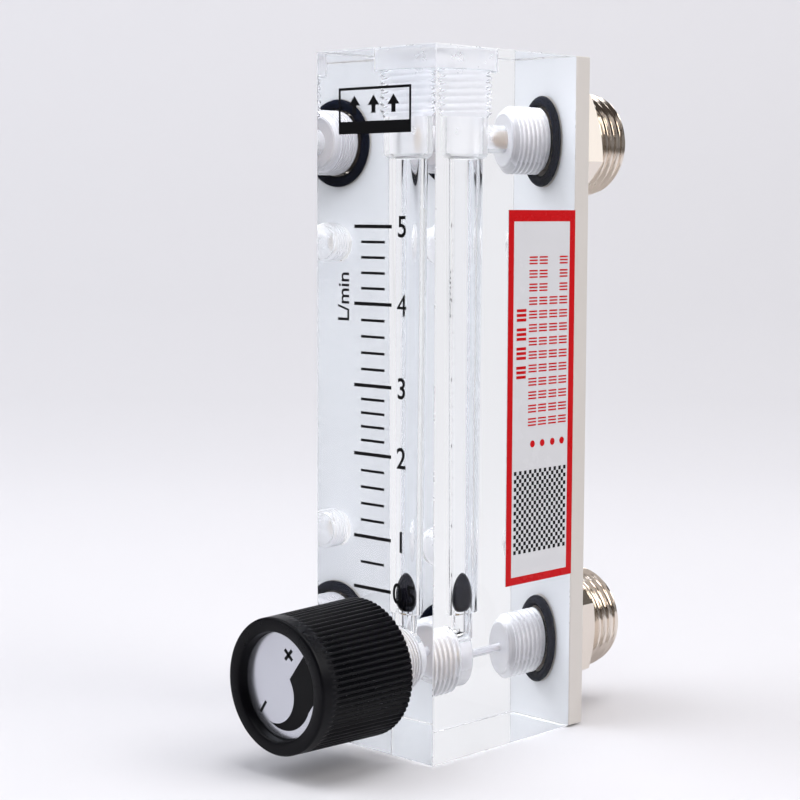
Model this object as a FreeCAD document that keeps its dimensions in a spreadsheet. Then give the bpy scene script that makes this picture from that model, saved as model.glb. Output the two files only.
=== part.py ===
import FreeCAD, Part
import math
import os
import Sketcher
from FreeCAD import Placement, Rotation, Vector

# Panel flow meter: a clear block with a tapered metering bore, a float that rises
# in it, a needle valve at the front and two hose fittings at the back.
# Origin: middle of the block's base. +Z up, -Y towards the knob, millimetres.

doc = FreeCAD.newDocument("rotameter")

# Driving sizes
SIZES = [
    ("block_width", 23.5, "block, along X"),
    ("block_depth", 30.0, "block, along Y"),
    ("block_height", 100.0, "block, along Z"),
    ("plate_thick", 3.2, "back plate"),
    ("port_low", 12.7, "height of the inlet and of the valve"),
    ("port_inset", 12.3, "outlet below the block's top"),
    ("port_tap", 9.0, "tapping size of the ports and of the valve hole"),
    ("port_depth", 9.4, "flat end of a port, from the back"),
    ("end_bevel", 0.4, "bevelled corner at the flat end of a port"),
    ("drill_slope", 0.6, "height of a drill point for each unit of its radius"),
    ("recess_dia", 13.5, "seal recess round a port"),
    ("recess_depth", 1.65, "seal recess round a port"),
    ("seal_section", 1.6, "thickness of a port seal"),
    ("seal_room", 0.1, "seal to recess, on the diameter"),
    ("bore_set", 2.5, "metering bore in front of the block's middle"),
    ("bore_low", 5.8, "metering bore at its floor"),
    ("bore_top", 6.8, "metering bore at its top"),
    ("bore_floor", 19.2, "height of the bore's floor"),
    ("chamber_deep", 14.7, "full diameter of the top chamber, from the block's top"),
    ("plug_sink", 2.8, "seat of the plug's flange below the block's top"),
    ("plug_recess", 12.1, "recess for the plug's flange"),
    ("plug_thread_long", 6.6, "threaded end of the plug"),
    ("plug_seal_thick", 0.5, "flat seal under the plug's flange"),
    ("slot_width", 1.2, "screwdriver slot in the plug"),
    ("slot_depth", 1.4, "screwdriver slot in the plug"),
    ("riser_dia", 3.9, "passage from the valve up to the bore"),
    ("riser_start", 2.6, "lower end of the riser above the valve's axis"),
    ("cross_dia", 4.0, "passage from the chamber to the outlet"),
    ("seat_start", 12.4, "depth of the valve hole where its end bevel begins"),
    ("seat_long", 0.4, "length of the bevel at its end"),
    ("seat_end", 8.2, "diameter of its flat end, round the orifice"),
    ("orifice_dia", 1.3, "passage behind the needle"),
    ("panel_hole", 5.2, "tapped holes for the panel screws"),
    ("panel_hole_deep", 7.2, "depth of the panel screw holes"),
    ("panel_hole_mid", 50.3, "height of the middle between the two"),
    ("panel_hole_apart", 44.5, "upper to lower panel screw"),
    ("panel_hole_pass", 6.4, "clearance hole in the plate"),
    ("nipple_pass", 10.4, "hole in the plate for a fitting"),
    ("fit_room", 0.05, "radial room between fitted pieces"),
    ("small_bevel", 0.4, "bevel on the lead-in of a turned piece"),
    ("fine_bevel", 0.2, "bevel on the edges of small pieces"),
    ("nipple_reach", 8.0, "nipple inside the block"),
    ("hex_flats", 18.0, "fitting, across flats"),
    ("hex_long", 6.6, "fitting, length of the hexagon"),
    ("hex_face", 17.0, "diameter where the hexagon's chamfer ends"),
    ("hex_over", 1.0, "chamfer cut beyond the hexagon's corners"),
    ("hex_slope", 0.577, "height of the chamfer for each unit of its radius"),
    ("thread_relief", 0.4, "plain neck between the hexagon and the thread"),
    ("thread_turns", 5, "hose thread, full turns"),
    ("thread_dia", 16.0, "hose thread"),
    ("thread_pitch", 1.5, "hose thread"),
    ("thread_depth", 0.92, "hose thread"),
    ("thread_flank", 0.53, "length of one flank along the axis"),
    ("thread_crest", 0.24, "width of a crest"),
    ("hose_bore", 8.0, "bore through a fitting"),
    ("hex_turn_top", 16.0, "clocking of the outlet's hexagon, degrees"),
    ("hex_turn_low", 34.0, "clocking of the inlet's hexagon, degrees"),
    ("float_dia", 5.6, "float"),
    ("float_long", 5.4, "float"),
    ("float_base", 3.4, "flat under the float"),
    ("float_belly", 2.0, "height of the widest section"),
    ("float_nose", 1.5, "radius of the float's tip"),
    ("float_seat", 0.2, "float above the bore's floor at rest"),
    ("stem_dia", 5.0, "valve stem"),
    ("stem_pitch", 0.75, "valve stem thread, travel for each turn"),
    ("stem_turns", 4.0, "turns from shut to open"),
    ("run_room", 0.06, "radial room round the stem"),
    ("needle_reach", 1.05, "needle inside the orifice"),
    ("needle_tip", 0.6, "diameter of the needle's point"),
    ("needle_dia", 2.8, "stem inside the block"),
    ("needle_cone", 0.4, "length of the cone behind the needle"),
    ("stem_lead", 0.7, "stem thread inside the block"),
    ("stem_bevel", 0.5, "bevel at the start of the stem's thread"),
    ("bonnet_reach", 9.0, "bonnet inside the block"),
    ("bonnet_flats", 11.0, "bonnet head, across flats"),
    ("bonnet_head", 3.1, "bonnet head, length"),
    ("bonnet_round", 10.8, "diameter of the bonnet's head inside its hexagon"),
    ("bonnet_pocket", 4.7, "depth of the pocket for the stem's collar"),
    ("collar_room", 0.3, "radial room round the collar"),
    ("end_play", 0.05, "room at each end of the stem's travel"),
    ("washer_thick", 0.8, "washer under the bonnet's head"),
    ("washer_dia", 12.0, "washer under the bonnet's head"),
    ("collar_dia", 6.6, "stem collar"),
    ("collar_thick", 0.8, "stem collar"),
    ("clip_thick", 0.4, "retaining ring"),
    ("clip_dia", 7.8, "retaining ring, outside"),
    ("clip_inner", 6.0, "retaining ring, inside"),
    ("clip_gap", 2.4, "opening of the retaining ring"),
    ("seal_land", 0.5, "between the stem's collar and the seal's groove"),
    ("seal_squeeze", 0.02, "seal to the bottom of its groove"),
    ("stem_seal_section", 0.88, "seal on the stem"),
    ("seal_groove", 1.0, "width of the seal's groove"),
    ("shaft_dia", 4.6, "stem outside the bonnet"),
    ("drive_dia", 3.9, "stem inside the knob"),
    ("drive_flat", 1.45, "flat on the stem, from its axis"),
    ("drive_short", 0.2, "stem end below the insert's end"),
    ("drive_step", 0.3, "step on the stem below the insert"),
    ("knob_gap", 2.0, "knob to block, shut"),
    ("knob_long", 17.0, "knob"),
    ("knob_rear", 19.9, "knob at its rear"),
    ("knob_front", 19.1, "knob at its front band"),
    ("knob_rim", 18.5, "knob at its front edge"),
    ("knob_edge", 0.5, "height of the front edge's bevel"),
    ("knob_band", 2.2, "smooth band at the front"),
    ("knob_wall", 1.5, "skirt of the knob"),
    ("knob_draft", 0.4, "narrowing of the hollow towards its floor"),
    ("knob_web", 1.2, "web between the knob's hollow and the screw's pocket"),
    ("rib_count", 72, "grooves round the knob"),
    ("rib_depth", 0.42, "grooves round the knob"),
    ("rib_half", 0.33, "half the width of a groove"),
    ("dial_dia", 15.0, "disc in the knob's front"),
    ("dial_thick", 0.8, "disc in the knob's front"),
    ("dial_sink", 1.5, "disc below the knob's edge"),
    ("dial_slope", 1.4, "width of the sloped edge round the disc"),
    ("dial_fall", 0.45, "height of the sloped edge round the disc"),
    ("hub_dia", 8.8, "boss inside the knob"),
    ("hub_start", 2.5, "boss below the knob's rear edge"),
    ("insert_dia", 6.0, "brass insert in the boss"),
    ("insert_groove", 0.35, "depth of the grooves round the insert"),
    ("insert_groove_wide", 1.2, "width of the grooves round the insert"),
    ("insert_flat_over", 0.3, "flat in the insert's hole, into its wall"),
    ("screw_dia", 2.1, "knob screw"),
    ("screw_long", 8.0, "knob screw under its head"),
    ("screw_head", 4.6, "knob screw head"),
    ("screw_head_thick", 0.9, "knob screw head"),
    ("cross_long", 2.6, "cross recess in the screw's head"),
    ("cross_wide", 0.6, "cross recess in the screw's head"),
    ("cross_deep", 0.5, "cross recess in the screw's head"),
    ("screw_pocket", 5.4, "pocket for the screw's head"),
    ("screw_pocket_deep", 1.5, "pocket for the screw's head"),
    ("screw_pass", 2.8, "clearance hole for the screw"),
    ("knob_washer_thick", 0.4, "washer under the screw's head"),
    ("label_thick", 0.15, "side label"),
    ("label_wide", 14.25, "side label, along Y"),
    ("label_tall", 54.4, "side label, along Z"),
    ("label_low", 23.3, "height of the label's lower edge"),
]

sheet = doc.addObject("Spreadsheet::Sheet", "dim")
for row, (alias, value, note) in enumerate(SIZES, start=1):
    sheet.set("A%d" % row, alias)
    sheet.set("B%d" % row, str(value))
    sheet.set("C%d" % row, note)
    sheet.setAlias("B%d" % row, alias)
doc.recompute()

TO_BACK = Rotation(Vector(1, 0, 0), -90)
TO_FRONT = Rotation(Vector(1, 0, 0), 90)
UPRIGHT = Rotation()
BACK_FACE = "dim.block_depth / 2"
CHAMBER_FLOOR = "(dim.block_height - dim.chamber_deep)"
PLUG_SEAT = "(dim.block_height - dim.plug_sink)"
CAVITY = "(dim.knob_long - dim.dial_sink - dim.dial_thick - dim.screw_pocket_deep - dim.knob_web)"
TOP_PORT = "dim.block_height - dim.port_inset"
TAP_R = "dim.port_tap / 2"
nodes = []


def tie(item, **links):
    # Binds properties to expressions; a double underscore stands for a dot.
    for name, text in links.items():
        item.setExpression(name.replace("__", "."), text)


def put(item, turn, x="0", y="0", z="0"):
    # Places an object: a turn, then an offset that follows the sizes.
    item.Placement = Placement(Vector(0, 0, 0), turn)
    tie(item, Placement__Base__x=x, Placement__Base__y=y, Placement__Base__z=z)


def keep(item, label):
    # Marks an object as one finished piece.
    item.Label = label
    nodes.append(item)
    return item


def origin_plane(body, role):
    for feature in body.Origin.OriginFeatures:
        if feature.Role == role:
            return feature
    raise ValueError(role)


def new_sketch(body, name, role="XZ_Plane"):
    sketch = body.newObject("Sketcher::SketchObject", name)
    sketch.AttachmentSupport = [(origin_plane(body, role), "")]
    sketch.MapMode = "FlatFace"
    return sketch


def fix_point(sketch, geometry, point, across, up, start=(1.0, 1.0)):
    # Holds a point at two expressions; "0" puts it on an axis instead.
    for text, axis, kind, first in ((across, -2, "DistanceX", start[0]),
                                    (up, -1, "DistanceY", start[1])):
        if text == "0":
            sketch.addConstraint(Sketcher.Constraint("PointOnObject", geometry, point, axis))
            continue
        index = sketch.addConstraint(Sketcher.Constraint(kind, -1, 1, geometry, point, first))
        sketch.setExpression("Constraints[%d]" % index, text)


def draw_outline(sketch, outline):
    # Closed outline of straight edges through the listed points.
    count = len(outline)
    corners = [Vector(1.0 + step, 0.5 * step, 0) for step in range(count)]
    for step in range(count):
        sketch.addGeometry(Part.LineSegment(corners[step], corners[(step + 1) % count]))
    for step in range(count):
        sketch.addConstraint(Sketcher.Constraint("Coincident", step, 2, (step + 1) % count, 1))
    for step, (across, up) in enumerate(outline):
        fix_point(sketch, step, 1, across, up)


def revolve(body, sketch, name, kind="Revolution"):
    turn = body.newObject("PartDesign::" + kind, name)
    turn.Profile = sketch
    turn.ReferenceAxis = (sketch, ["V_Axis"])
    turn.Angle = 360
    body.Tip = turn
    return turn


def turned(name, outline):
    # A piece turned about its own Z axis from a (radius, height) outline.
    body = doc.addObject("PartDesign::Body", name)
    sketch = new_sketch(body, name + "_outline")
    draw_outline(sketch, outline)
    revolve(body, sketch, name + "_turned")
    return body


def groove(body, name, outline):
    sketch = new_sketch(body, name + "_outline")
    draw_outline(sketch, outline)
    revolve(body, sketch, name, "Groove")


def form(body, kind, name, low="0", x="0", y="0", turn="0", **links):
    # Adds or removes a simple solid, standing on the body's XY plane.
    item = body.newObject("PartDesign::" + kind, name)
    item.AttachmentSupport = [(origin_plane(body, "XY_Plane"), "")]
    item.MapMode = "FlatFace"
    tie(item, AttachmentOffset__Base__z=low, AttachmentOffset__Base__x=x, AttachmentOffset__Base__y=y)
    if turn != "0":
        item.AttachmentOffset = Placement(Vector(0, 0, 0), Rotation(Vector(0, 0, 1), 1))
        tie(item, AttachmentOffset__Rotation__Angle=turn)
    tie(item, **links)
    body.Tip = item
    return item


def round_bar(name, radius, length, turn, x="0", y="0", z="0"):
    bar = doc.addObject("Part::Cylinder", name)
    tie(bar, Radius=radius, Height=length)
    put(bar, turn, x, y, z)
    return bar


def cone_bar(name, first, last, length, turn, x="0", y="0", z="0"):
    bar = doc.addObject("Part::Cone", name)
    tie(bar, Radius1=first, Radius2=last, Height=length)
    put(bar, turn, x, y, z)
    return bar


def brick(name, size_x, size_y, size_z, x, y, z):
    box = doc.addObject("Part::Box", name)
    tie(box, Length=size_x, Width=size_y, Height=size_z)
    put(box, UPRIGHT, x, y, z)
    return box


def cut_away(name, base, tools):
    joined = doc.addObject("Part::MultiFuse", name + "_tools")
    joined.Shapes = tools
    piece = doc.addObject("Part::Cut", name)
    piece.Base = base
    piece.Tool = joined
    return piece


def seal_ring(name, mean, section, turn, y, z):
    ring = doc.addObject("Part::Torus", name)
    tie(ring, Radius1=mean, Radius2=section + " / 2")
    put(ring, turn, "0", y, z)
    return keep(ring, name)


# Clear block: every passage is drilled from a face of it.
def make_block():
    bore_y = "-dim.bore_set"
    tools = []

    # metering bore, its drill-pointed step up to the chamber, chamber and plug recess
    step = "(dim.port_tap - dim.bore_top) / 2 * dim.drill_slope"
    tools.append(cone_bar("metering_bore", "dim.bore_low / 2", "dim.bore_top / 2",
                          "%s - %s - dim.bore_floor" % (CHAMBER_FLOOR, step), UPRIGHT,
                          y=bore_y, z="dim.bore_floor"))
    tools.append(cone_bar("chamber_step", "dim.bore_top / 2", TAP_R, step, UPRIGHT,
                          y=bore_y, z=CHAMBER_FLOOR + " - " + step))
    tools.append(round_bar("chamber", TAP_R, "dim.chamber_deep", UPRIGHT,
                           y=bore_y, z=CHAMBER_FLOOR))
    tools.append(round_bar("plug_recess_cut", "dim.plug_recess / 2", "dim.plug_sink", UPRIGHT,
                           y=bore_y, z=PLUG_SEAT))
    tools.append(round_bar("riser", "dim.riser_dia / 2",
                           "dim.bore_floor - dim.port_low - dim.riser_start", UPRIGHT,
                           y=bore_y, z="dim.port_low + dim.riser_start"))

    # valve hole from the front, its bevelled flat end and the orifice behind it
    front = "-dim.block_depth / 2"
    tools.append(round_bar("valve_hole", TAP_R, "dim.seat_start", TO_BACK,
                           y=front, z="dim.port_low"))
    tools.append(cone_bar("valve_seat", TAP_R, "dim.seat_end / 2", "dim.seat_long", TO_BACK,
                          y=front + " + dim.seat_start", z="dim.port_low"))
    seat_y = front + " + dim.seat_start + dim.seat_long"
    tools.append(round_bar("orifice", "dim.orifice_dia / 2",
                           "dim.block_depth - dim.seat_start - dim.seat_long - dim.port_depth"
                           " + dim.end_bevel", TO_BACK, y=seat_y, z="dim.port_low"))
    tools.append(round_bar("cross_passage", "dim.cross_dia / 2",
                           "dim.block_depth / 2 + dim.bore_set - dim.port_depth + dim.end_bevel",
                           TO_BACK, y=bore_y, z=TOP_PORT))

    # two ports from the back, each with a bevelled flat end and a seal recess
    port_y = BACK_FACE + " - dim.port_depth"
    for place, height in (("inlet", "dim.port_low"), ("outlet", TOP_PORT)):
        tools.append(round_bar(place + "_port", TAP_R, "dim.port_depth - dim.end_bevel",
                               TO_BACK, y=port_y + " + dim.end_bevel", z=height))
        tools.append(cone_bar(place + "_port_end", TAP_R + " - dim.end_bevel", TAP_R,
                              "dim.end_bevel", TO_BACK, y=port_y, z=height))
        tools.append(round_bar(place + "_recess", "dim.recess_dia / 2", "dim.recess_depth",
                               TO_BACK, y=BACK_FACE + " - dim.recess_depth", z=height))

    # two blind holes for the panel screws
    hole_y = BACK_FACE + " - dim.panel_hole_deep"
    hole_point = "dim.panel_hole / 2 * dim.drill_slope"
    for place, side in (("upper", "+"), ("lower", "-")):
        height = "dim.panel_hole_mid %s dim.panel_hole_apart / 2" % side
        tools.append(round_bar(place + "_panel_hole", "dim.panel_hole / 2", "dim.panel_hole_deep",
                               TO_BACK, y=hole_y, z=height))
        tools.append(cone_bar(place + "_panel_point", "0", "dim.panel_hole / 2", hole_point,
                              TO_BACK, y=hole_y + " - " + hole_point, z=height))

    blank = brick("block_blank", "dim.block_width", "dim.block_depth", "dim.block_height",
                  "-dim.block_width / 2", front, "0")
    return keep(cut_away("body_block_cut", blank, tools), "body_block")


# Back plate: same outline as the block, drilled for the fittings and the panel screws.
def make_plate():
    tools = []
    for place, height in (("inlet", "dim.port_low"), ("outlet", TOP_PORT)):
        tools.append(round_bar(place + "_plate_hole", "dim.nipple_pass / 2", "dim.plate_thick",
                               TO_BACK, y=BACK_FACE, z=height))
    for place, side in (("upper", "+"), ("lower", "-")):
        height = "dim.panel_hole_mid %s dim.panel_hole_apart / 2" % side
        tools.append(round_bar(place + "_plate_screw", "dim.panel_hole_pass / 2",
                               "dim.plate_thick", TO_BACK, y=BACK_FACE, z=height))
    blank = brick("plate_blank", "dim.block_width", "dim.plate_thick", "dim.block_height",
                  "-dim.block_width / 2", BACK_FACE, "0")
    return keep(cut_away("back_plate_cut", blank, tools), "back_plate")


# Hose fitting: nipple, hexagon and coarse thread, turned from one bar.
def make_fitting(label, height, clocking):
    nipple_r = TAP_R + " - dim.fit_room"
    shoulder = "dim.nipple_reach + dim.plate_thick"
    hex_end = shoulder + " + dim.hex_long"
    crest_r = "dim.thread_dia / 2"
    root_r = "dim.thread_dia / 2 - dim.thread_depth"
    first_turn = hex_end + " + dim.thread_relief"
    outline = [("0", "0"), (nipple_r + " - dim.small_bevel", "0"), (nipple_r, "dim.small_bevel"),
               (nipple_r, shoulder), (root_r, shoulder), (root_r, first_turn)]
    turns = int(sheet.thread_turns)
    for step in range(turns):
        start = "%s + %d * dim.thread_pitch" % (first_turn, step)
        outline.append((crest_r, start + " + dim.thread_flank"))
        outline.append((crest_r, start + " + dim.thread_flank + dim.thread_crest"))
        outline.append((root_r, start + " + 2 * dim.thread_flank + dim.thread_crest"))
        if step < turns - 1:
            outline.append((root_r, start + " + dim.thread_pitch"))
    outline.append(("0", start + " + 2 * dim.thread_flank + dim.thread_crest"))
    body = turned(label + "_body", outline)
    form(body, "AdditivePrism", label + "_hexagon", low=shoulder, turn=clocking,
         Circumradius="dim.hex_flats / sqrt(3)", Height="dim.hex_long")
    face_r = "dim.hex_face / 2"
    over_r = "dim.hex_flats / sqrt(3) + dim.hex_over"
    groove(body, label + "_chamfer", [
        (face_r, hex_end), (over_r, hex_end),
        (over_r, "%s - (%s - %s) * dim.hex_slope" % (hex_end, over_r, face_r))])
    form(body, "SubtractiveCylinder", label + "_through", Radius="dim.hose_bore / 2",
         Height=start + " + dim.thread_pitch")
    put(body, TO_BACK, "0", BACK_FACE + " - dim.nipple_reach", height)
    return keep(body, label)


# Float: egg-shaped, flat below, one belly arc under the widest section and a long arc
# above it that runs into a small round tip.
def make_float():
    body = doc.addObject("PartDesign::Body", "float_body")
    sketch = new_sketch(body, "float_outline")
    base, belly, long_arc, tip, axis = range(5)
    up = Vector(0, 0, 1)

    # drawn with radii worked out from the sizes, then held by the constraints
    half = sheet.float_dia / 2
    flat = sheet.float_base / 2
    widest = sheet.float_belly
    top = sheet.float_long
    nose = sheet.float_nose
    low_r = ((half - flat) ** 2 + widest ** 2) / (2 * (half - flat))
    rise = top - nose - widest
    high_r = (half ** 2 + rise ** 2 - nose ** 2) / (2 * (half - nose))
    lean = math.atan2(rise, high_r - half)
    low_circle = Part.Circle(Vector(half - low_r, widest, 0), up, low_r)
    high_circle = Part.Circle(Vector(half - high_r, widest, 0), up, high_r)
    nose_circle = Part.Circle(Vector(0, top - nose, 0), up, nose)
    sketch.addGeometry(Part.LineSegment(Vector(0, 0, 0), Vector(flat, 0, 0)))
    sketch.addGeometry(Part.ArcOfCircle(low_circle, -math.asin(widest / low_r), 0.0))
    sketch.addGeometry(Part.ArcOfCircle(high_circle, 0.0, lean))
    sketch.addGeometry(Part.ArcOfCircle(nose_circle, lean, math.pi / 2))
    sketch.addGeometry(Part.LineSegment(Vector(0, top, 0), Vector(0, 0, 0)))
    add = sketch.addConstraint
    add(Sketcher.Constraint("Coincident", axis, 2, -1, 1))
    add(Sketcher.Constraint("Coincident", base, 1, axis, 2))
    add(Sketcher.Constraint("Coincident", base, 2, belly, 1))
    add(Sketcher.Constraint("Coincident", belly, 2, long_arc, 1))
    add(Sketcher.Constraint("Tangent", long_arc, 2, tip, 1))
    add(Sketcher.Constraint("Coincident", tip, 2, axis, 1))
    fix_point(sketch, base, 2, "dim.float_base / 2", "0", (flat, 0))
    fix_point(sketch, belly, 2, "dim.float_dia / 2", "dim.float_belly", (half, widest))
    fix_point(sketch, axis, 1, "0", "dim.float_long", (0, top))
    for arc in (belly, long_arc):
        index = add(Sketcher.Constraint("DistanceY", -1, 1, arc, 3, widest))
        sketch.setExpression("Constraints[%d]" % index, "dim.float_belly")
    add(Sketcher.Constraint("PointOnObject", tip, 3, -2))
    index = add(Sketcher.Constraint("Radius", tip, nose))
    sketch.setExpression("Constraints[%d]" % index, "dim.float_nose")
    revolve(body, sketch, "float_turned")
    put(body, UPRIGHT, "0", "-dim.bore_set", "dim.bore_floor + dim.float_seat")
    return keep(body, "float")


# Screw plug that closes the chamber, with a slot, and the flat seal under its flange.
def make_plug():
    flange_low = "dim.plug_thread_long + dim.plug_seal_thick"
    height = "dim.plug_sink + dim.plug_thread_long"
    thread_r = TAP_R + " - dim.fit_room"
    flange_r = "dim.plug_recess / 2 - dim.fit_room * 2"
    body = turned("top_plug_body", [
        ("0", "0"), (thread_r + " - dim.small_bevel", "0"), (thread_r, "dim.small_bevel"),
        (thread_r, flange_low),
        (flange_r, flange_low), (flange_r, height), ("0", height)])
    form(body, "SubtractiveBox", "plug_slot", low=height + " - dim.slot_depth",
         x="-dim.plug_recess / 2", y="-dim.slot_width / 2", Length="dim.plug_recess",
         Width="dim.slot_width", Height="dim.slot_depth")
    put(body, UPRIGHT, "0", "-dim.bore_set", PLUG_SEAT + " - dim.plug_thread_long")
    keep(body, "top_plug")
    seal = turned("top_plug_seal_body", [
        (TAP_R + " + dim.fit_room", "0"), (flange_r, "0"), (flange_r, "dim.plug_seal_thick"),
        (TAP_R + " + dim.fit_room", "dim.plug_seal_thick")])
    put(seal, UPRIGHT, "0", "-dim.bore_set", PLUG_SEAT)
    keep(seal, "top_plug_seal")


# Bonnet: screwed in from the front, it guides the stem and holds its collar.
def make_bonnet():
    washer_low = "dim.bonnet_reach"
    head_low = washer_low + " + dim.washer_thick"
    head_end = head_low + " + dim.bonnet_head"
    shank_r = TAP_R + " - dim.fit_room"
    bore_r = "dim.stem_dia / 2 + dim.run_room"
    pocket_r = "dim.collar_dia / 2 + dim.collar_room"
    travel = "dim.stem_pitch * dim.stem_turns"
    body = turned("valve_bonnet_body", [
        ("0", "0"), (shank_r + " - dim.small_bevel", "0"), (shank_r, "dim.small_bevel"),
        (shank_r, head_low), ("dim.bonnet_round / 2", head_low),
        ("dim.bonnet_round / 2", head_end), ("0", head_end)])
    form(body, "AdditivePrism", "bonnet_hexagon", low=head_low,
         Circumradius="dim.bonnet_flats / sqrt(3)", Height="dim.bonnet_head")
    form(body, "SubtractiveCylinder", "bonnet_bore", Radius=bore_r, Height=head_end)
    pocket_low = head_end + " - dim.bonnet_pocket"
    form(body, "SubtractiveCylinder", "bonnet_pocket_cut", low=pocket_low, Radius=pocket_r,
         Height="dim.bonnet_pocket")
    clip_low = "%s + dim.collar_thick + %s + 2 * dim.end_play" % (pocket_low, travel)
    form(body, "SubtractiveCylinder", "bonnet_clip_groove", low=clip_low,
         Radius="dim.clip_dia / 2 + dim.fit_room", Height="dim.clip_thick + dim.end_play")
    inner_y = "-dim.block_depth / 2 + dim.bonnet_reach"
    put(body, TO_FRONT, "0", inner_y, "dim.port_low")
    keep(body, "valve_bonnet")

    washer = turned("bonnet_washer_body", [
        (TAP_R, "0"), ("dim.washer_dia / 2", "0"), ("dim.washer_dia / 2", "dim.washer_thick"),
        (TAP_R, "dim.washer_thick")])
    put(washer, TO_FRONT, "0", "-dim.block_depth / 2", "dim.port_low")
    keep(washer, "bonnet_washer")

    ring = round_bar("clip_outer", "dim.clip_dia / 2", "dim.clip_thick", UPRIGHT)
    hole = round_bar("clip_hole", "dim.clip_inner / 2", "dim.clip_thick", UPRIGHT)
    mouth = brick("clip_mouth", "dim.clip_dia", "dim.clip_gap", "dim.clip_thick",
                  "0", "-dim.clip_gap / 2", "0")
    clip = cut_away("stem_circlip_cut", ring, [hole, mouth])
    put(clip, TO_FRONT, "0", "%s - (%s)" % (inner_y, clip_low), "dim.port_low")
    keep(clip, "stem_circlip")
    return inner_y, pocket_low


# Stem: needle, thread, seal groove, collar, shaft and the flatted end for the knob.
def make_stem(inner_y, pocket_low):
    tip_y = "-dim.block_depth / 2 + dim.seat_start + dim.seat_long + dim.needle_reach"
    bonnet_low = "(%s) - (%s)" % (tip_y, inner_y)
    collar_low = "%s + %s + dim.end_play" % (bonnet_low, pocket_low)
    groove_end = collar_low + " - dim.seal_land"
    groove_low = groove_end + " - dim.seal_groove"
    groove_r = "dim.stem_dia / 2 - dim.stem_seal_section - dim.seal_squeeze"
    knob_low = "(%s) + dim.block_depth / 2 + dim.knob_gap" % tip_y
    drive_low = knob_low + " + dim.hub_start - dim.drive_step"
    stem_end = knob_low + " + " + CAVITY + " - dim.drive_short"
    orifice_r = "dim.orifice_dia / 2 - dim.fit_room"
    stem_r = "dim.stem_dia / 2"
    body = turned("valve_stem_body", [
        ("0", "0"), ("dim.needle_tip / 2", "0"), (orifice_r, "dim.needle_reach + dim.end_play"),
        ("dim.needle_dia / 2", "dim.needle_reach + dim.end_play + dim.needle_cone"),
        ("dim.needle_dia / 2", bonnet_low + " - dim.stem_lead - dim.stem_bevel"),
        (stem_r, bonnet_low + " - dim.stem_lead"),
        (stem_r, groove_low), (groove_r, groove_low), (groove_r, groove_end),
        (stem_r, groove_end), (stem_r, collar_low), ("dim.collar_dia / 2", collar_low),
        ("dim.collar_dia / 2", collar_low + " + dim.collar_thick"),
        ("dim.shaft_dia / 2", collar_low + " + dim.collar_thick"),
        ("dim.shaft_dia / 2", drive_low), ("dim.drive_dia / 2", drive_low),
        ("dim.drive_dia / 2", stem_end + " - dim.fine_bevel"),
        ("dim.drive_dia / 2 - dim.fine_bevel", stem_end), ("0", stem_end)])
    form(body, "SubtractiveBox", "stem_flat", low=drive_low, x="dim.drive_flat",
         y="-dim.drive_dia", Length="dim.drive_dia", Width="dim.drive_dia * 2",
         Height=CAVITY)
    form(body, "SubtractiveCylinder", "stem_tapped_end",
         low="%s - dim.screw_long" % stem_end, Radius="dim.screw_dia / 2 + dim.fit_room",
         Height="dim.screw_long * 2")
    put(body, TO_FRONT, "0", tip_y, "dim.port_low")
    keep(body, "valve_stem")

    seal_y = "(%s) - (%s) - dim.seal_groove / 2" % (tip_y, groove_low)
    seal_ring("stem_seal", "dim.stem_dia / 2 - dim.stem_seal_section / 2",
              "dim.stem_seal_section", TO_FRONT, seal_y, "dim.port_low")


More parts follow.
